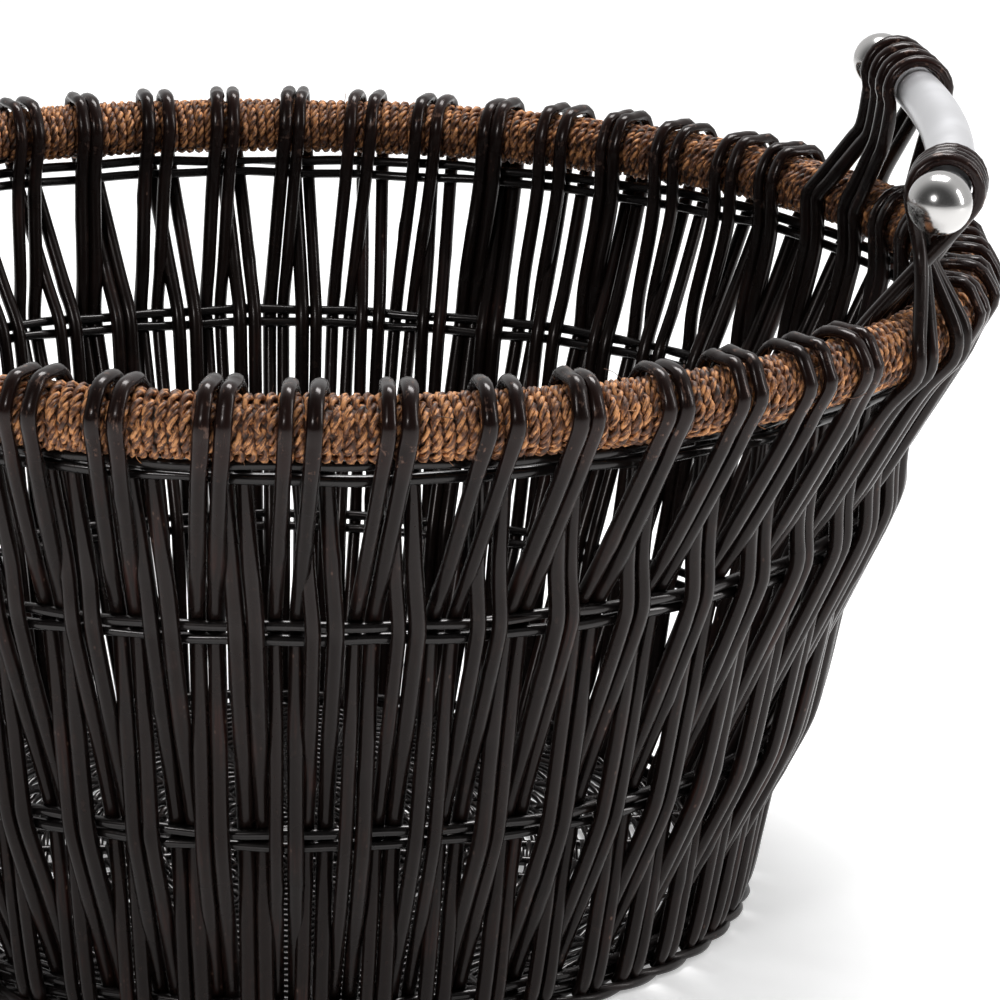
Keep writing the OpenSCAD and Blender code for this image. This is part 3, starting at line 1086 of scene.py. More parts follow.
    def finish_rod(
        self, points: Sequence[Sequence[float]], bends: Sequence[tuple[Vector, float, float]],
        creases: Sequence[Sequence[float]] = (),
    ) -> Rod:
        """Smooths a rod's points and sets its thickness, wear and flats.

        Args:
            points: The rod's points.
            bends: For each place where it is bent hard: the middle of the bend, how far the bend
                reaches, and the share by which it is pressed flat there.
            creases: Places where the bark is creased and the rod pinched.

        Returns:
            The rod.
        """
        path = resample(smooth_through(np.array(points)), self.point_step)
        share = np.linspace(0.0, 1.0, len(path))
        thick = self.plan.stake_r * self.rng.uniform(0.92, 1.10)
        taper = self.rng.uniform(-0.07, 0.07)
        radius = thick * (1.0 + taper * (2 * share - 1))
        radius[:2] *= 0.9
        radius[-2:] *= 0.9
        flat, wear = np.zeros(len(path)), np.full(len(path), 0.06)
        press = np.tile(UP, (len(path), 1))
        for middle, reach, amount in bends:
            away = path - np.array(middle)
            distance = np.linalg.norm(away, axis=1)
            near = distance < reach
            fade = np.clip((reach - distance) / (0.25 * reach), 0, 1) * near
            flat = np.maximum(flat, fade * amount)
            wear = np.maximum(wear, fade)
            press[near] = away[near] / distance[near, None]
        for crease in creases:
            pinch = np.exp(-(np.linalg.norm(path - np.array(crease), axis=1) / self.crease_reach) ** 2)
            radius *= 1.0 - self.rng.uniform(0.06, 0.17) * pinch
            wear = np.maximum(wear, pinch)
        return Rod(path, radius, float(self.rng.uniform()), wear, flat, press)

    def hairpin(self, pair: int, rod: int) -> Rod:
        """Makes one rod of a pair that bends over the rim."""
        sway = self.rng.uniform(-0.6, 0.6, 2) * MM
        lift = self.rng.uniform(0.0, 0.4) * MM
        knuckle = self.rng.uniform(0.5, 1.5) * MM
        inner = self.leg(pair, -1, rod, sway[0])
        bend = self.over_rim(pair, rod, self.bend, lift, knuckle)
        outer = self.leg(pair, 1, rod, sway[1])[::-1]
        middle = Vector(self.place(self.plan.rim_r, self.plan.pair_angle(pair) + self.jitter[pair],
                                   self.plan.rim_z, rod * self.half_gap(pair, self.plan.rim_z)))
        creases = [bend[k] for k in self.creased]
        return self.finish_rod(inner + bend + outer, [(middle, self.over_r * 1.25, 0.46)], creases)

    def loop(self, side: Side, end: int, kind: LoopKind, index: int) -> Rod:
        """Makes one rod that turns round the end of a grip.

        Args:
            side: Which grip.
            end: -1 at the front of the right grip and 1 at its rear.
            kind: How the rods of this loop lie.
            index: Number of the rod, from the ball inwards.

        Returns:
            The rod.
        """
        plan, grip = self.plan, self.grip
        pair = self.loop_pair(end, index // 2)
        rod = end * (1 if index % 2 == 0 else -1)
        close, shape = kind is LoopKind.CLOSE, kind.value
        first = grip.half - grip.ball_r - plan.stake_r - shape.first_gap
        down_y = end * (first - index * shape.pitch)
        up_y = down_y - end * shape.slant * shape.pitch
        wrap = grip.tube_r + plan.stake_r + self.loop_clearance
        points = self.leg(pair, -1, rod, 0.0) + self.over_rim(pair, rod, (190, 174), 0.0)
        if not close:
            elbow = np.array([grip.x_at(up_y) - wrap - 0.8 * MM, up_y, grip.z - self.elbow])
            points += [list(points[-1] + (elbow - points[-1]) * share) for share in (0.3, 0.85, 1.0)]
        for step, degree in enumerate(shape.turns):
            y = up_y + (down_y - up_y) * step / (len(shape.turns) - 1)
            turn = math.radians(degree)
            points.append([grip.x_at(y) + wrap * math.cos(turn), y, grip.z + wrap * math.sin(turn)])
        if close:
            points.append([grip.x_at(down_y) - 0.6 * wrap, down_y, grip.z - self.elbow])
        points += self.over_rim(pair, rod, (14, -6, -24), 0.8 * MM)
        points += self.leg(pair, 1, rod, 0.0)[::-1]
        middle = Vector((grip.x_at(down_y), (up_y + down_y) / 2, grip.z))
        made = self.finish_rod(points, [(middle, wrap * 1.3, 0.15)])
        if side is Side.LEFT:
            for vectors in (made.path, made.press):
                vectors[:, :2] *= -1
        return made

    def loop_pair(self, end: int, place: int) -> int:
        """Gives the number of a loop pair at an end of the right grip."""
        index = self.plan.loop_pairs[place]
        return index if end > 0 else self.plan.pairs - 1 - index

    def bundle(self, name: str, seed: float) -> RodBundle:
        """Starts a bundle of stakes."""
        return RodBundle(
            name, self.material, sides=12, ripple=0.12, ripple_length=0.035,
            knot_height=0.28 * MM, knot_spacing=0.11, seed=seed,
        )

    def build(self) -> list[bpy.types.Object]:
        """Builds every stake, one piece for each CAD node.

        Returns:
            The pieces.
        """
        made = []
        for group in range(1, self.plan.groups + 1):
            node = f"stakes_{group:02d}"
            bundle = self.bundle(f"hairpin_{node}", float(group))
            for pair in self.plan.group_pairs(group):
                bundle.rods += [self.hairpin(pair, rod) for rod in (-1, 1)]
            made.append(self.register(bundle.build(self.sweep), node))
        loops = (
            ("right_front_loop", Side.RIGHT, -1, LoopKind.CLOSE),
            ("right_rear_loop", Side.RIGHT, 1, LoopKind.SPREAD),
            ("left_front_loop", Side.LEFT, 1, LoopKind.SPREAD),
            ("left_rear_loop", Side.LEFT, -1, LoopKind.CLOSE),
        )
        for seed, (node, side, end, kind) in enumerate(loops):
            bundle = self.bundle(f"{node}_rods", 40.0 + seed)
            bundle.rods = [self.loop(side, end, kind, index) for index in range(4)]
            made.append(self.register(bundle.build(self.sweep), node))
        return made

    @staticmethod
    def register(piece: bpy.types.Object, node: str) -> bpy.types.Object:
        """Puts a piece in place of a stakes node."""
        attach(piece, BASKET_BODY)
        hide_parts(node)
        return piece


@dataclass
class HoopRows:
    """The rows of two thin rods that hold the legs.

    Attributes:
        plan: Sizes of the basket.
        material: Finish of the hoops.
        sweep: Tree that makes the rods.
        point_step: Distance between the points of a path.
        joint_lap: Angle over which a rod laps the next one.
        rods_per_hoop: Rods that make one hoop.
        neck_lift: How far the neck row is raised from its CAD nodes.
        in_out: Size of the wave inwards and outwards.
        up_down: Sizes of the slow and the quick wave up and down.
        tuck: How far the start of a rod is tucked behind the end of the last one.
        rng: Source of the random differences.
    """

    plan: BasketPlan
    material: bpy.types.Material
    sweep: RodSweepTree
    point_step: float = 2.6 * MM
    joint_lap: float = math.radians(6.4)
    rods_per_hoop: int = 3
    neck_lift: float = 1.0 * MM
    in_out: float = 0.25 * MM
    up_down: tuple[float, float] = (0.3 * MM, 0.2 * MM)
    tuck: float = 0.9 * MM
    rng: np.random.Generator = field(default_factory=lambda: np.random.default_rng(21))

    def rod(self, radius: float, z: float, start: float, stop: float) -> Rod:
        """Makes one rod of a hoop.

        Args:
            radius: Radius of the hoop.
            z: Height of the hoop.
            start: Angle where the rod begins.
            stop: Angle where it ends.

        Returns:
            The rod, tapered where it laps the next one.
        """
        count = int(radius * (stop - start) / self.point_step)
        angle = np.linspace(start, stop, count)
        share = np.linspace(0, 1, count)
        phase = self.rng.uniform(0, math.tau, 3)
        wave = self.in_out * np.sin(angle * 23 + phase[0])
        lap = np.clip(share / 0.06, 0, 1) * np.clip((1 - share) / 0.06, 0, 1)
        inward = self.tuck * (1 - np.clip(share / 0.12, 0, 1))
        slow, quick = self.up_down
        height = z + slow * np.sin(angle * 11 + phase[1]) + quick * np.sin(angle * 31 + phase[2])
        path = ring_path(radius + wave - inward, angle, height)
        thick = self.plan.hoop_r * self.rng.uniform(1.04, 1.18)
        return Rod(path, thick * (0.55 + 0.45 * lap), float(self.rng.uniform()))

    def build(self) -> list[bpy.types.Object]:
        """Builds the hoops, one piece for each CAD node.

        Returns:
            The pieces.
        """
        made = []
        span = math.tau / self.rods_per_hoop
        for name, row in zip(("foot", "belly", "shoulder", "neck"), self.plan.rows):
            for level in ("lower", "upper"):
                node = f"{name}_hoop_{level}"
                low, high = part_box(node)
                bundle = RodBundle(
                    f"{node}_rods", self.material, sides=10, ripple=0.14, ripple_length=0.03,
                    knot_height=0.2 * MM, knot_spacing=0.13, seed=row.z * 900,
                )
                radius = high.x - self.plan.hoop_r
                height = (low.z + high.z) / 2 + (self.neck_lift if name == "neck" else 0.0)
                first = self.rng.uniform(0, math.tau)
                for i in range(self.rods_per_hoop):
                    start = first + i * span
                    bundle.rods.append(self.rod(radius, height, start, start + span + self.joint_lap))
                piece = bundle.build(self.sweep)
                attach(piece, BASKET_BODY)
                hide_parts(node)
                made.append(piece)
        return made


# ---------------------------------------------------------------------------------------------
# The rim
# ---------------------------------------------------------------------------------------------


@dataclass
class RimBinding:
    """The three-ply seagrass cord wound round the rim hoop.

    Attributes:
        plan: Sizes of the basket.
        material: Finish of the cord.
        sweep: Tree that makes the strands.
        fibres: Tree that scatters stray fibres.
        cord_pitch: Distance between the turns of the cord, along the rim.
        strand_r: Radius of one strand.
        ply_r: Distance of a strand from the cord's middle.
        lay: Length of cord in which its strands twist once round.
        plies: Strands of the cord.
        sectors: Parts that the binding is made in.
        bed_depth: How deep the first layer lies, in radii of a strand.
        wander: How far a turn of the cord strays along the rim.
        lift: How far a turn rises and sinks.
        fibre_density: Stray fibres on a square metre.
        fibre_length: Length of a fibre.
        fibre_r: Radius of a fibre.
        rng: Source of the random differences.
    """

    plan: BasketPlan
    material: bpy.types.Material
    sweep: RodSweepTree
    fibres: FibreTree
    cord_pitch: float = 3.0 * MM
    strand_r: float = 0.69 * MM
    ply_r: float = 0.84 * MM
    lay: float = 6.6 * MM
    plies: int = 3
    sectors: int = 6
    bed_depth: float = 2.1
    wander: float = 0.2 * MM
    lift: float = 0.25 * MM
    fibre_density: float = 1500.0
    fibre_length: float = 4.2 * MM
    fibre_r: float = 0.09 * MM
    rng: np.random.Generator = field(default_factory=lambda: np.random.default_rng(33))

    def strand(self, start: float, stop: float, turns: int, ply: float) -> Rod:
        """Makes one strand of the cord over part of the rim.

        Args:
            start: Angle of the rim where the part begins.
            stop: Angle where it ends.
            turns: Turns of the cord over this part.
            ply: Phase of this strand round the cord.

        Returns:
            The strand.
        """
        plan = self.plan
        wind_r = plan.bound_r - self.strand_r - self.ply_r * 0.8
        per_turn = 46
        u = np.arange(turns * per_turn + 1) / per_turn
        drift = np.cumsum(self.rng.normal(0, 0.012, len(u)))
        drift -= np.linspace(0, drift[-1], len(u))
        rim_angle = start + (stop - start) * u / turns
        wind = math.tau * u
        turn_length = math.tau * wind_r
        twist = -math.tau * u * round(turn_length / self.lay) + ply + drift * 2 + self.slow(u, 0.6)
        lift = self.slow(u / 3.0, self.lift)
        reach = wind_r + lift + self.ply_r * np.cos(twist)
        along_rim = self.ply_r * np.sin(twist) * 1.05 + self.slow(u / 2.0, self.wander)
        radial = plan.rim_r + reach * np.cos(wind)
        height = plan.rim_z - reach * np.sin(wind)
        angle = rim_angle + along_rim / plan.rim_r
        path = ring_path(radial, angle, height)
        thick = self.strand_r * (1.0 + 0.12 * np.sin(u * 5.3 + ply) + self.rng.normal(0, 0.035, len(u)))
        return Rod(path, thick, float(self.rng.uniform()))

    def bed(self, start: float, stop: float) -> Rod:
        """Makes the first layer of the binding, which closes the gaps between the turns."""
        angle = np.linspace(start - 0.01, stop + 0.01, 140)
        path = ring_path(self.plan.rim_r, angle, self.plan.rim_z)
        return Rod(path, np.full(len(angle), self.plan.bound_r - self.bed_depth * self.strand_r), 0.0)

    def slow(self, u: np.ndarray, size: float) -> np.ndarray:
        """Gives a slow random wave along the cord."""
        count = int(u[-1] * 1.5) + 4
        values = self.rng.uniform(-1, 1, count)
        return size * np.interp(u, np.linspace(0, u[-1], count), values)

    def build(self) -> list[bpy.types.Object]:
        """Builds the binding in parts, each with its stray fibres.

        Returns:
            The pieces.
        """
        made = []
        turns = int(round(math.tau * self.plan.rim_r / self.cord_pitch / self.sectors))
        for part in range(self.sectors):
            start = part * math.tau / self.sectors
            stop = start + math.tau / self.sectors
            bundle = RodBundle(
                f"rim_cord_{part + 1}", self.material, sides=7, ripple=0.2, ripple_length=0.004,
                knot_spacing=1.0, seed=3.0 * part,
            )
            phases = [math.tau * ply / self.plies for ply in range(self.plies)]
            bundle.rods = [self.strand(start, stop, turns, phase) for phase in phases]
            bundle.rods.append(self.bed(start, stop))
            cord = bundle.build(self.sweep)
            hair_source = cord.copy()
            bpy.context.scene.collection.objects.link(hair_source)
            values = {
                "Density": self.fibre_density, "Length": self.fibre_length, "Thickness": self.fibre_r,
                "Seed": 11 + part, "Material": self.material,
            }
            hair = bake_nodes(hair_source, self.fibres.tree, values, f"rim_fibres_{part + 1}")
            for piece in (cord, hair):
                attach(piece, BASKET_BODY)
                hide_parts("rim_binding")
                made.append(piece)
        return made


# ---------------------------------------------------------------------------------------------
# Base
# ---------------------------------------------------------------------------------------------


@dataclass
class WovenBase:
    """The round woven floor with its sticks, and the plaited foot.

    Attributes:
        plan: Sizes of the basket.
        material: Finish of the floor.
        border: Finish of the foot border.
        sweep: Tree that makes the rods.
        weaver_r: Radius of a weaver.
        weaver_pitch: Distance between neighbouring weavers.
        stick_r: Radius of a stick.
        spokes: Arms of the sticks round the floor.
        hub_r: Radius of the bound middle.
        border_r: Radius of a rod of the foot border.
        border_steps: Pairs of stakes that a rod of the border passes.
        border_gap: How far the border stays inside its CAD node, before its rise.
        border_lift: How far the border is raised, so that it stands on the ground.
        border_rise: How much the plait's rods swing higher and lower than that.
        rng: Source of the random differences.
    """

    plan: BasketPlan
    material: bpy.types.Material
    border: bpy.types.Material
    sweep: RodSweepTree
    weaver_r: float = 0.95 * MM
    weaver_pitch: float = 2.05 * MM
    stick_r: float = 1.5 * MM
    spokes: int = 32
    hub_r: float = 13 * MM
    border_r: float = 1.35 * MM
    border_steps: float = 4.2
    border_gap: float = 0.1 * MM
    border_lift: float = 0.22 * MM
    border_rise: float = 0.2 * MM
    rng: np.random.Generator = field(default_factory=lambda: np.random.default_rng(5))

    def spoke_angle(self, index: int) -> float:
        """Gives the angle of a spoke."""
        return (index + 0.5) * math.tau / self.spokes

    def weavers(self) -> list[Rod]:
        """Makes the weavers: rings that pass over and under the spokes in turn.

        Returns:
            The rods.
        """
        rods, ring = [], 0
        limit = self.plan.floor_r - self.weaver_r * 1.3
        per_spoke = 7
        height = self.stick_r + self.weaver_r * 0.75
        radius = self.hub_r
        while radius < limit:
            dense = max(1, int(self.spokes * per_spoke * min(1.0, 0.45 + radius / self.plan.floor_r)))
            angle = np.linspace(0, math.tau, dense + 1) + self.rng.uniform(0, 0.6)
            wave = np.cos(angle * self.spokes / 2 + math.pi * ring)
            z = self.plan.stick_z + height * np.tanh(1.5 * wave) / math.tanh(1.5)
            wobble = 0.16 * MM * np.sin(angle * 9 + self.rng.uniform(0, 6))
            path = ring_path(radius + wobble, angle, z)
            thick = self.weaver_r * self.rng.uniform(0.92, 1.06)
            rods.append(Rod(path, np.full(len(path), thick), float(self.rng.uniform())))
            radius += self.weaver_pitch
            ring += 1
        return rods

    def sticks(self) -> list[Rod]:
        """Makes the base sticks, which fan out from the cross at the middle.

        Returns:
            The rods.
        """
        rods = []
        for index in range(self.spokes // 2):
            angle = self.spoke_angle(index)
            reach = self.plan.floor_r - 1.5 * MM
            steps = np.linspace(-1, 1, 61)[:, None] * reach
            path = steps * np.array([[math.cos(angle), math.sin(angle), 0.0]])
            path = np.concatenate([path[:28], path[33:]]) if index % 4 else path
            path[:, 2] = self.plan.stick_z
            thick = self.stick_r * self.rng.uniform(0.95, 1.03)
            rods.append(Rod(path, np.full(len(path), thick), float(self.rng.uniform())))
        return rods

    def hub(self) -> list[Rod]:
        """Makes the tight turns that bind the middle of the cross.

        Returns:
            The rods.
        """
        rods = []
        for level, sign in ((1, 1), (2, -1)):
            turns = np.linspace(0, 6 * math.tau, 260)
            reach = 2 * MM + (self.hub_r - 3 * MM) * turns / turns[-1]
            z = self.plan.stick_z + sign * (self.stick_r + self.weaver_r * 0.8)
            path = ring_path(reach, turns, z)
            rods.append(Rod(path, np.full(len(turns), self.weaver_r), 0.3 * level))
        return rods

    def border_rods(self) -> list[Rod]:
        """Makes the plaited foot: each stake end runs along the foot over and under its neighbours.

        Returns:
            The rods.
        """
        plan, rods = self.plan, []
        t = np.linspace(0, 1, 40)
        turn = math.pi * 0.5 - t * math.tau * 0.98
        wide = plan.foot_w / 2 - self.border_r - self.border_gap
        tall = plan.foot_h / 2 - self.border_gap - self.border_r + self.border_rise
        reach = plan.foot_r + wide * np.cos(turn)
        height = plan.foot_h / 2 + self.border_lift + tall * np.sin(turn)
        ends = np.clip(t / 0.08, 0, 1) * np.clip((1 - t) / 0.08, 0, 1)
        for index in range(plan.pairs):
            start = plan.pair_angle(index) + plan.pair_step / 4
            path = ring_path(reach, start + t * plan.pair_step * self.border_steps, height)
            rods.append(Rod(path, self.border_r * (0.6 + 0.4 * ends), float(self.rng.uniform())))
        return rods

    def build(self) -> list[bpy.types.Object]:
        """Builds the floor and the foot.

        Returns:
            The pieces.
        """
        floor = RodBundle("woven_floor_weavers", self.material, 6, 0.14, 0.02, knot_spacing=1.0, seed=2.0)
        floor.rods = self.weavers()
        sticks = RodBundle("woven_floor_sticks", self.material, 10, 0.1, 0.03, knot_spacing=1.0, seed=4.0)
        sticks.rods = self.sticks() + self.hub()
        foot = RodBundle("plaited_foot", self.border, 8, 0.12, 0.02, knot_spacing=1.0, seed=6.0)
        foot.rods = self.border_rods()
        layers = ("base_weave_floor", "base_weave_under")
        cross = ("base_long_sticks", "base_cross_sticks", "base_bye_sticks")
        made = [
            (floor.build(self.sweep), "base_willow", layers),
            (sticks.build(self.sweep), "base_willow", cross),
            (foot.build(self.sweep), "border_willow", ("foot_border",)),
        ]
        for piece, slot, nodes in made:
            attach(piece, BASKET_BODY)
            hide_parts(*nodes)
        return [piece for piece, _, _ in made]


# ---------------------------------------------------------------------------------------------
# Grips
# ---------------------------------------------------------------------------------------------


@dataclass
class MetalGrip:
    """A bowed tube with a ball at each end.

    Attributes:
        plan: Sizes of the grip.
        side: Which end of the basket.
        tube_material: Finish of the tube.
        ball_material: Finish of the balls.
        swell: How much thicker the tube is at its middle.
        slim: How much thinner it is at its ends than its CAD node.
        hidden_end: How far the tube stops short of the ball's middle.
        edge: Width of the bevel at its ends.
        sections: Rings of points along the tube.
        round_sides: Points of a ring.
        ball_steps: Rings of a ball.
        collar: How far a ball's collar stands off the tube.
    """

    plan: GripPlan
    side: Side
    tube_material: bpy.types.Material
    ball_material: bpy.types.Material
    swell: float = 0.55 * MM
    slim: float = 0.25 * MM
    hidden_end: float = 5.6 * MM
    edge: float = 0.35 * MM
    sections: int = 96
    round_sides: int = 48
    ball_steps: int = 44
    collar: float = 0.35 * MM

    def lathe(
        self, name: str, profile: Sequence[tuple[float, float]], seat: float | None = None
    ) -> bpy.types.Object:
        """Turns a profile round the bowed axis of the grip, or round its tangent at one place.

        Args:
            name: Name of the piece.
            profile: Distances along the axis and radii.
            seat: Distance along Y where the tangent touches the axis; none for a bowed piece.

        Returns:
            The piece.
        """
        mesh = bpy.data.meshes.new(name)
        work = bmesh.new()
        rings = []
        for along, radius in profile:
            if seat is None:
                reach = self.plan.bend_r
                angle = along / reach
                middle = self.plan.mid_x - reach
                centre = Vector((
                    middle + reach * math.cos(angle), reach * math.sin(angle), self.plan.z
                ))
            else:
                angle = self.plan.tangent_angle(seat)
                origin = Vector((self.plan.x_at(seat), seat, self.plan.z))
                centre = origin + Vector((-math.sin(angle), math.cos(angle), 0)) * along
            out = Vector((math.cos(angle), math.sin(angle), 0))
            ring = []
            for k in range(self.round_sides):
                turn = math.tau * k / self.round_sides
                spoke = out * (math.cos(turn) * radius) + Vector((0, 0, math.sin(turn) * radius))
                ring.append(work.verts.new(centre + spoke))
            rings.append(ring)
        for first, second in zip(rings, rings[1:]):
            for k in range(self.round_sides):
                nxt = (k + 1) % self.round_sides
                work.faces.new((first[k], first[nxt], second[nxt], second[k]))
        work.faces.new(rings[0][::-1])
        work.faces.new(rings[-1])
        bmesh.ops.remove_doubles(work, verts=work.verts, dist=1e-7)
        bmesh.ops.recalc_face_normals(work, faces=work.faces)
        if self.side is Side.LEFT:
            half_turn = Matrix.Rotation(math.pi, 3, "Z")
            bmesh.ops.rotate(work, verts=work.verts, cent=(0, 0, 0), matrix=half_turn)
        for face in work.faces:
            face.smooth = len(face.verts) < 5
        work.to_mesh(mesh)
        work.free()
        piece = bpy.data.objects.new(name, mesh)
        bpy.context.scene.collection.objects.link(piece)
        return piece

    def tube_profile(self) -> list[tuple[float, float]]:
        """Gives the outline of the tube, a little thicker at its middle.

        Returns:
            Distances along the tube and radii.
        """
        plan = self.plan
        reach = math.asin(plan.half / plan.bend_r) * plan.bend_r - self.hidden_end
        profile = []
        for i in range(self.sections + 1):
            along = -reach + 2 * reach * i / self.sections
            belly = max(0.0, math.cos(along / reach * math.pi / 2)) ** 1.5
            profile.append((along, plan.tube_r - self.slim + self.swell * belly))
        edge, first, last = self.edge, profile[0], profile[-1]
        return [(first[0], first[1] - edge), (first[0] + edge / 2, first[1]), *profile[1:-1],
                (last[0] - edge / 2, last[1]), (last[0], last[1] - edge)]

    def ball_profile(self, end: int) -> list[tuple[float, float]]:
        """Gives the outline of a ball with a collar towards the tube.

        Args:
            end: -1 at the front and 1 at the rear.

        Returns:
            Distances from the ball's centre along the tube and radii.
        """
        radius, steps = self.plan.ball_r, self.ball_steps
        seat = math.asin(min(0.98, (self.plan.tube_r + 0.1 * MM) / radius))
        profile = []
        for i in range(steps + 1):
            turn = 0.02 + (math.pi - seat - 0.02) * i / steps
            profile.append((end * radius * math.cos(turn), radius * math.sin(turn)))
        inner = radius * math.cos(math.pi - seat)
        collar = self.plan.tube_r + self.collar
        profile += [(end * (inner - 0.3 * MM), collar), (end * (inner - 1.6 * MM), collar),
                    (end * (inner - 1.9 * MM), collar - 0.3 * MM), (end * (inner - 1.9 * MM), 1.5 * MM)]
        return profile

    def build(self) -> list[bpy.types.Object]:
        """Builds the tube and its balls.

        Returns:
            The pieces.
        """
        name = self.side.value
        tube = self.lathe(f"{name}_tube_shell", self.tube_profile())
        tube.data.materials.append(self.tube_material)
        made = [(tube, "satin_metal", f"{name}_grip_tube")]
        for end in (-1, 1):
            at_front = (end < 0) == (self.side is Side.RIGHT)
            node = f"{name}_{'front' if at_front else 'rear'}_ball"
            ball = self.lathe(f"{node}_shell", self.ball_profile(end), end * self.plan.half)
            ball.data.materials.append(self.ball_material)
            made.append((ball, "bright_ball", node))
        for piece, slot, node in made:
            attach(piece, self.side.body)
            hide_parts(node)
        return [piece for piece, _, _ in made]


# ---------------------------------------------------------------------------------------------
# Studio
# ---------------------------------------------------------------------------------------------


@dataclass
class Studio:
    """Pale floor, soft lights and the camera.

    Attributes:
        rim_r: Radius of the rim, which the camera's distances are given in.
        floor_size: Side of the floor.
        elevation: Angle of the camera above the ground.
        distance: Distance of the camera from its aim, in radii of the rim.
        aim_x: Aim of the camera along X, in radii of the rim.
        aim_z: Height of that aim, in radii of the rim.
        roll: Turn of the camera about its own axis.
        lens: Focal length in millimetres.
    """

    rim_r: float
    floor_size: float = 14.0
    elevation: float = math.radians(16.12)
    distance: float = 6.888
    aim_x: float = 0.312
    aim_z: float = 0.6096
    roll: float = math.radians(1.35)
    lens: float = 160.5

    def floor(self, material: bpy.types.Material) -> None:
        """Lays the floor."""
        mesh = bpy.data.meshes.new("studio_floor")
        half = self.floor_size / 2
        corners = [(-half, -half, 0), (half, -half, 0), (half, half, 0), (-half, half, 0)]
        mesh.from_pydata(corners, [], [(0, 1, 2, 3)])
        mesh.materials.append(material)
        floor = bpy.data.objects.new("studio_floor", mesh)
        bpy.context.scene.collection.objects.link(floor)

    @staticmethod
    def softbox(name: str, place: Vector, aim: Vector, size: tuple[float, float], power: float) -> None:
        """Hangs a rectangular area light.

        Args:
            name: Name of the light.
            place: Where it hangs.
            aim: What it points at.
            size: Its width and height.
            power: Its power in watts.
        """
        light = bpy.data.lights.new(name, "AREA")
        light.shape = "RECTANGLE"
        light.size, light.size_y = size
        light.energy = power
        lamp = bpy.data.objects.new(name, light)
        lamp.location = place
        lamp.rotation_euler = (aim - place).to_track_quat("-Z", "Y").to_euler()
        bpy.context.scene.collection.objects.link(lamp)

    def lights(self) -> None:
        """Sets the sky and the softboxes."""
        world = bpy.data.worlds.new("studio_sky")
        bpy.context.scene.world = world
        world.use_nodes = True
        world.node_tree.nodes.clear()
        g = NodeGraph(world.node_tree)
        way = g.add("ShaderNodeSeparateXYZ", {0: g.add("ShaderNodeTexCoord").outputs["Generated"]}).outputs
        depth = g.math("MULTIPLY_ADD", way["X"], 0.35, way["Y"])
        sky = g.add("ShaderNodeBackground", {"Strength": g.ramp(depth, -0.6, 0.5, 0.10, 0.95)})
        g.add("ShaderNodeOutputWorld", {"Surface": sky.outputs[0]})
        middle = Vector((0, 0, 0.12))
        self.softbox("top_softbox", Vector((0.2, 0.5, 1.6)), middle, (0.9, 0.5), 26)
        self.softbox("front_softbox", Vector((-0.75, -1.7, 1.15)), middle, (0.32, 0.32), 9)
        self.softbox("right_softbox", Vector((1.4, -0.3, 0.7)), middle, (0.2, 0.9), 7)

    def camera(self) -> None:
        """Places the camera."""
        scale = self.rim_r
        data = bpy.data.cameras.new("studio_camera")
        data.sensor_width = 36
        data.lens = self.lens
        data.clip_start, data.clip_end = 0.05, 50
        camera = bpy.data.objects.new("studio_camera", data)
        back = Vector((0, -math.cos(self.elevation), math.sin(self.elevation)))
        right = Vector((1, 0, 0))
        up = right.cross(-back)
        aim = Vector((self.aim_x * scale, 0, self.aim_z * scale))
        cos, sin = math.cos(self.roll), math.sin(self.roll)
        side, top = right * cos + up * sin, up * cos - right * sin
        matrix = Matrix((side, top, back)).transposed().to_4x4()
        matrix.translation = aim + back * self.distance * scale
        camera.matrix_world = matrix
        bpy.context.scene.collection.objects.link(camera)
        bpy.context.scene.camera = camera


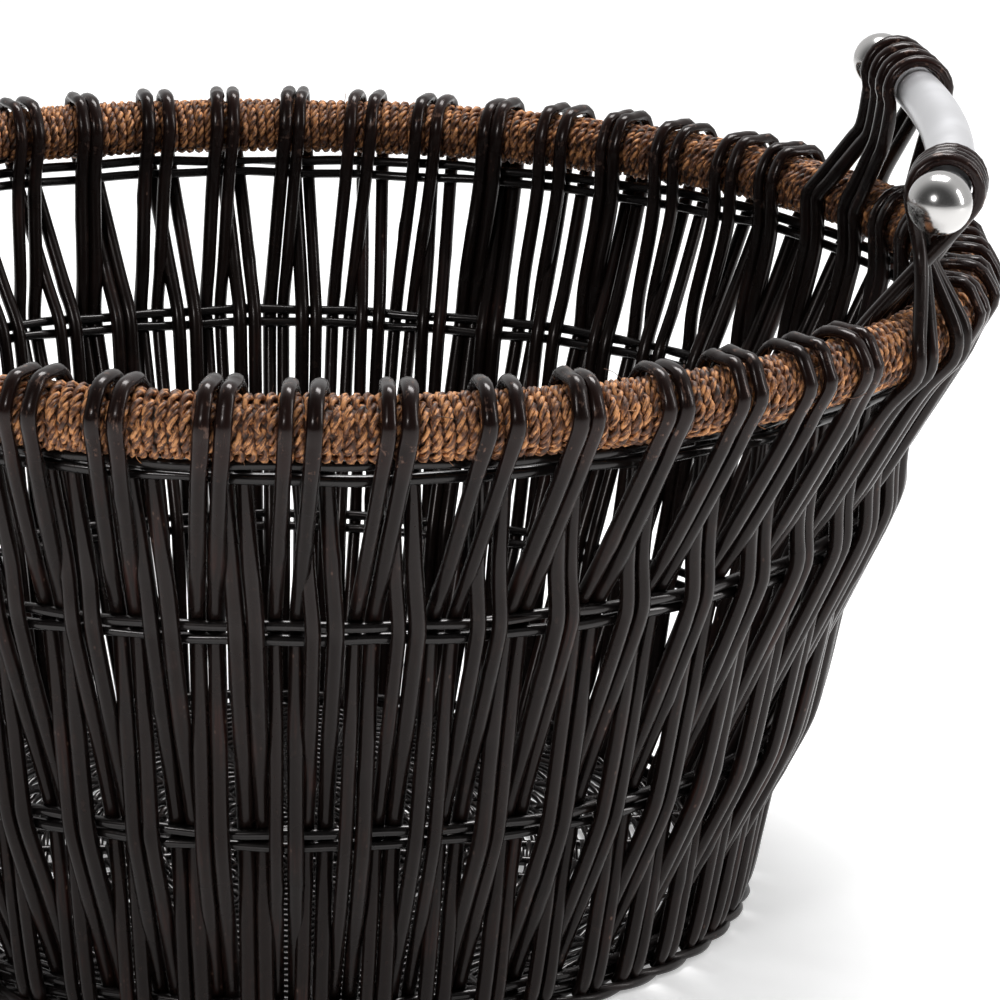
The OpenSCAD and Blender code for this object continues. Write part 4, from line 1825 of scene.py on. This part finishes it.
def dress_hidden_parts(willow: bpy.types.Material, steel: bpy.types.Material) -> None:
    """Gives the CAD nodes that stay their finishes."""
    for node, material in (("rim_hoop", willow), ("right_tie_rod", steel), ("left_tie_rod", steel)):
        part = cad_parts[node]
        part.data.materials.clear()
        part.data.materials.append(material)


def main() -> None:
    """Builds the basket and the studio."""
    logging.basicConfig(level=logging.INFO, format="%(name)s: %(message)s")
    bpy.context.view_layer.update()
    plan, grip = BasketPlan.from_frame(), GripPlan.from_frame()
    LOG.info("plan %s", plan)
    LOG.info("grip %s", grip)
    studio = Studio(plan.rim_r)
    studio.camera()
    streaks = StreakGroup()
    stake_finish = WillowFinish("stake_willow").build(streaks)
    hoop_finish = WillowFinish(
        "hoop_willow", stain=(0.006, 0.005, 0.005), thin_stain=(0.014, 0.008, 0.006),
        roughness=(0.2, 0.38), coat=0.4,
    ).build(streaks)
    floor_finish = WillowFinish(
        "base_willow", stain=(0.006, 0.005, 0.005), thin_stain=(0.018, 0.010, 0.007),
        roughness=(0.2, 0.4), coat=0.4,
    ).build(streaks)
    border_finish = WillowFinish(
        "border_willow", stain=(0.008, 0.0065, 0.0062), roughness=(0.3, 0.5)
    ).build(streaks)
    cord_finish = SeagrassFinish("seagrass_cord").build(streaks)
    satin = MetalFinish("satin_metal", (0.76, 0.76, 0.78), (0.3, 0.36), 0.9, 0.04).build(streaks)
    bright = MetalFinish("bright_ball", (0.55, 0.54, 0.53), (0.14, 0.2), 1.0).build(streaks)
    steel = MetalFinish("rod_steel", (0.5, 0.5, 0.52), (0.3, 0.45), 1.0).build(streaks)
    sweep, fibres = RodSweepTree(), FibreTree()
    pieces = StakeWall(plan, grip, stake_finish, sweep).build()
    pieces += HoopRows(plan, hoop_finish, sweep).build()
    pieces += RimBinding(plan, cord_finish, sweep, fibres).build()
    pieces += WovenBase(plan, floor_finish, border_finish, sweep).build()
    for side in Side:
        pieces += MetalGrip(grip, side, satin, bright).build()
    dress_hidden_parts(hoop_finish, steel)
    studio.floor(StudioFloorFinish("studio_floor").build(streaks))
    studio.lights()
    bpy.context.scene.view_settings.view_transform = "Standard"
    for piece in pieces:
        LOG.info("%s: %d faces", piece.name, len(piece.data.polygons))


if __name__ == "__main__":
    main()
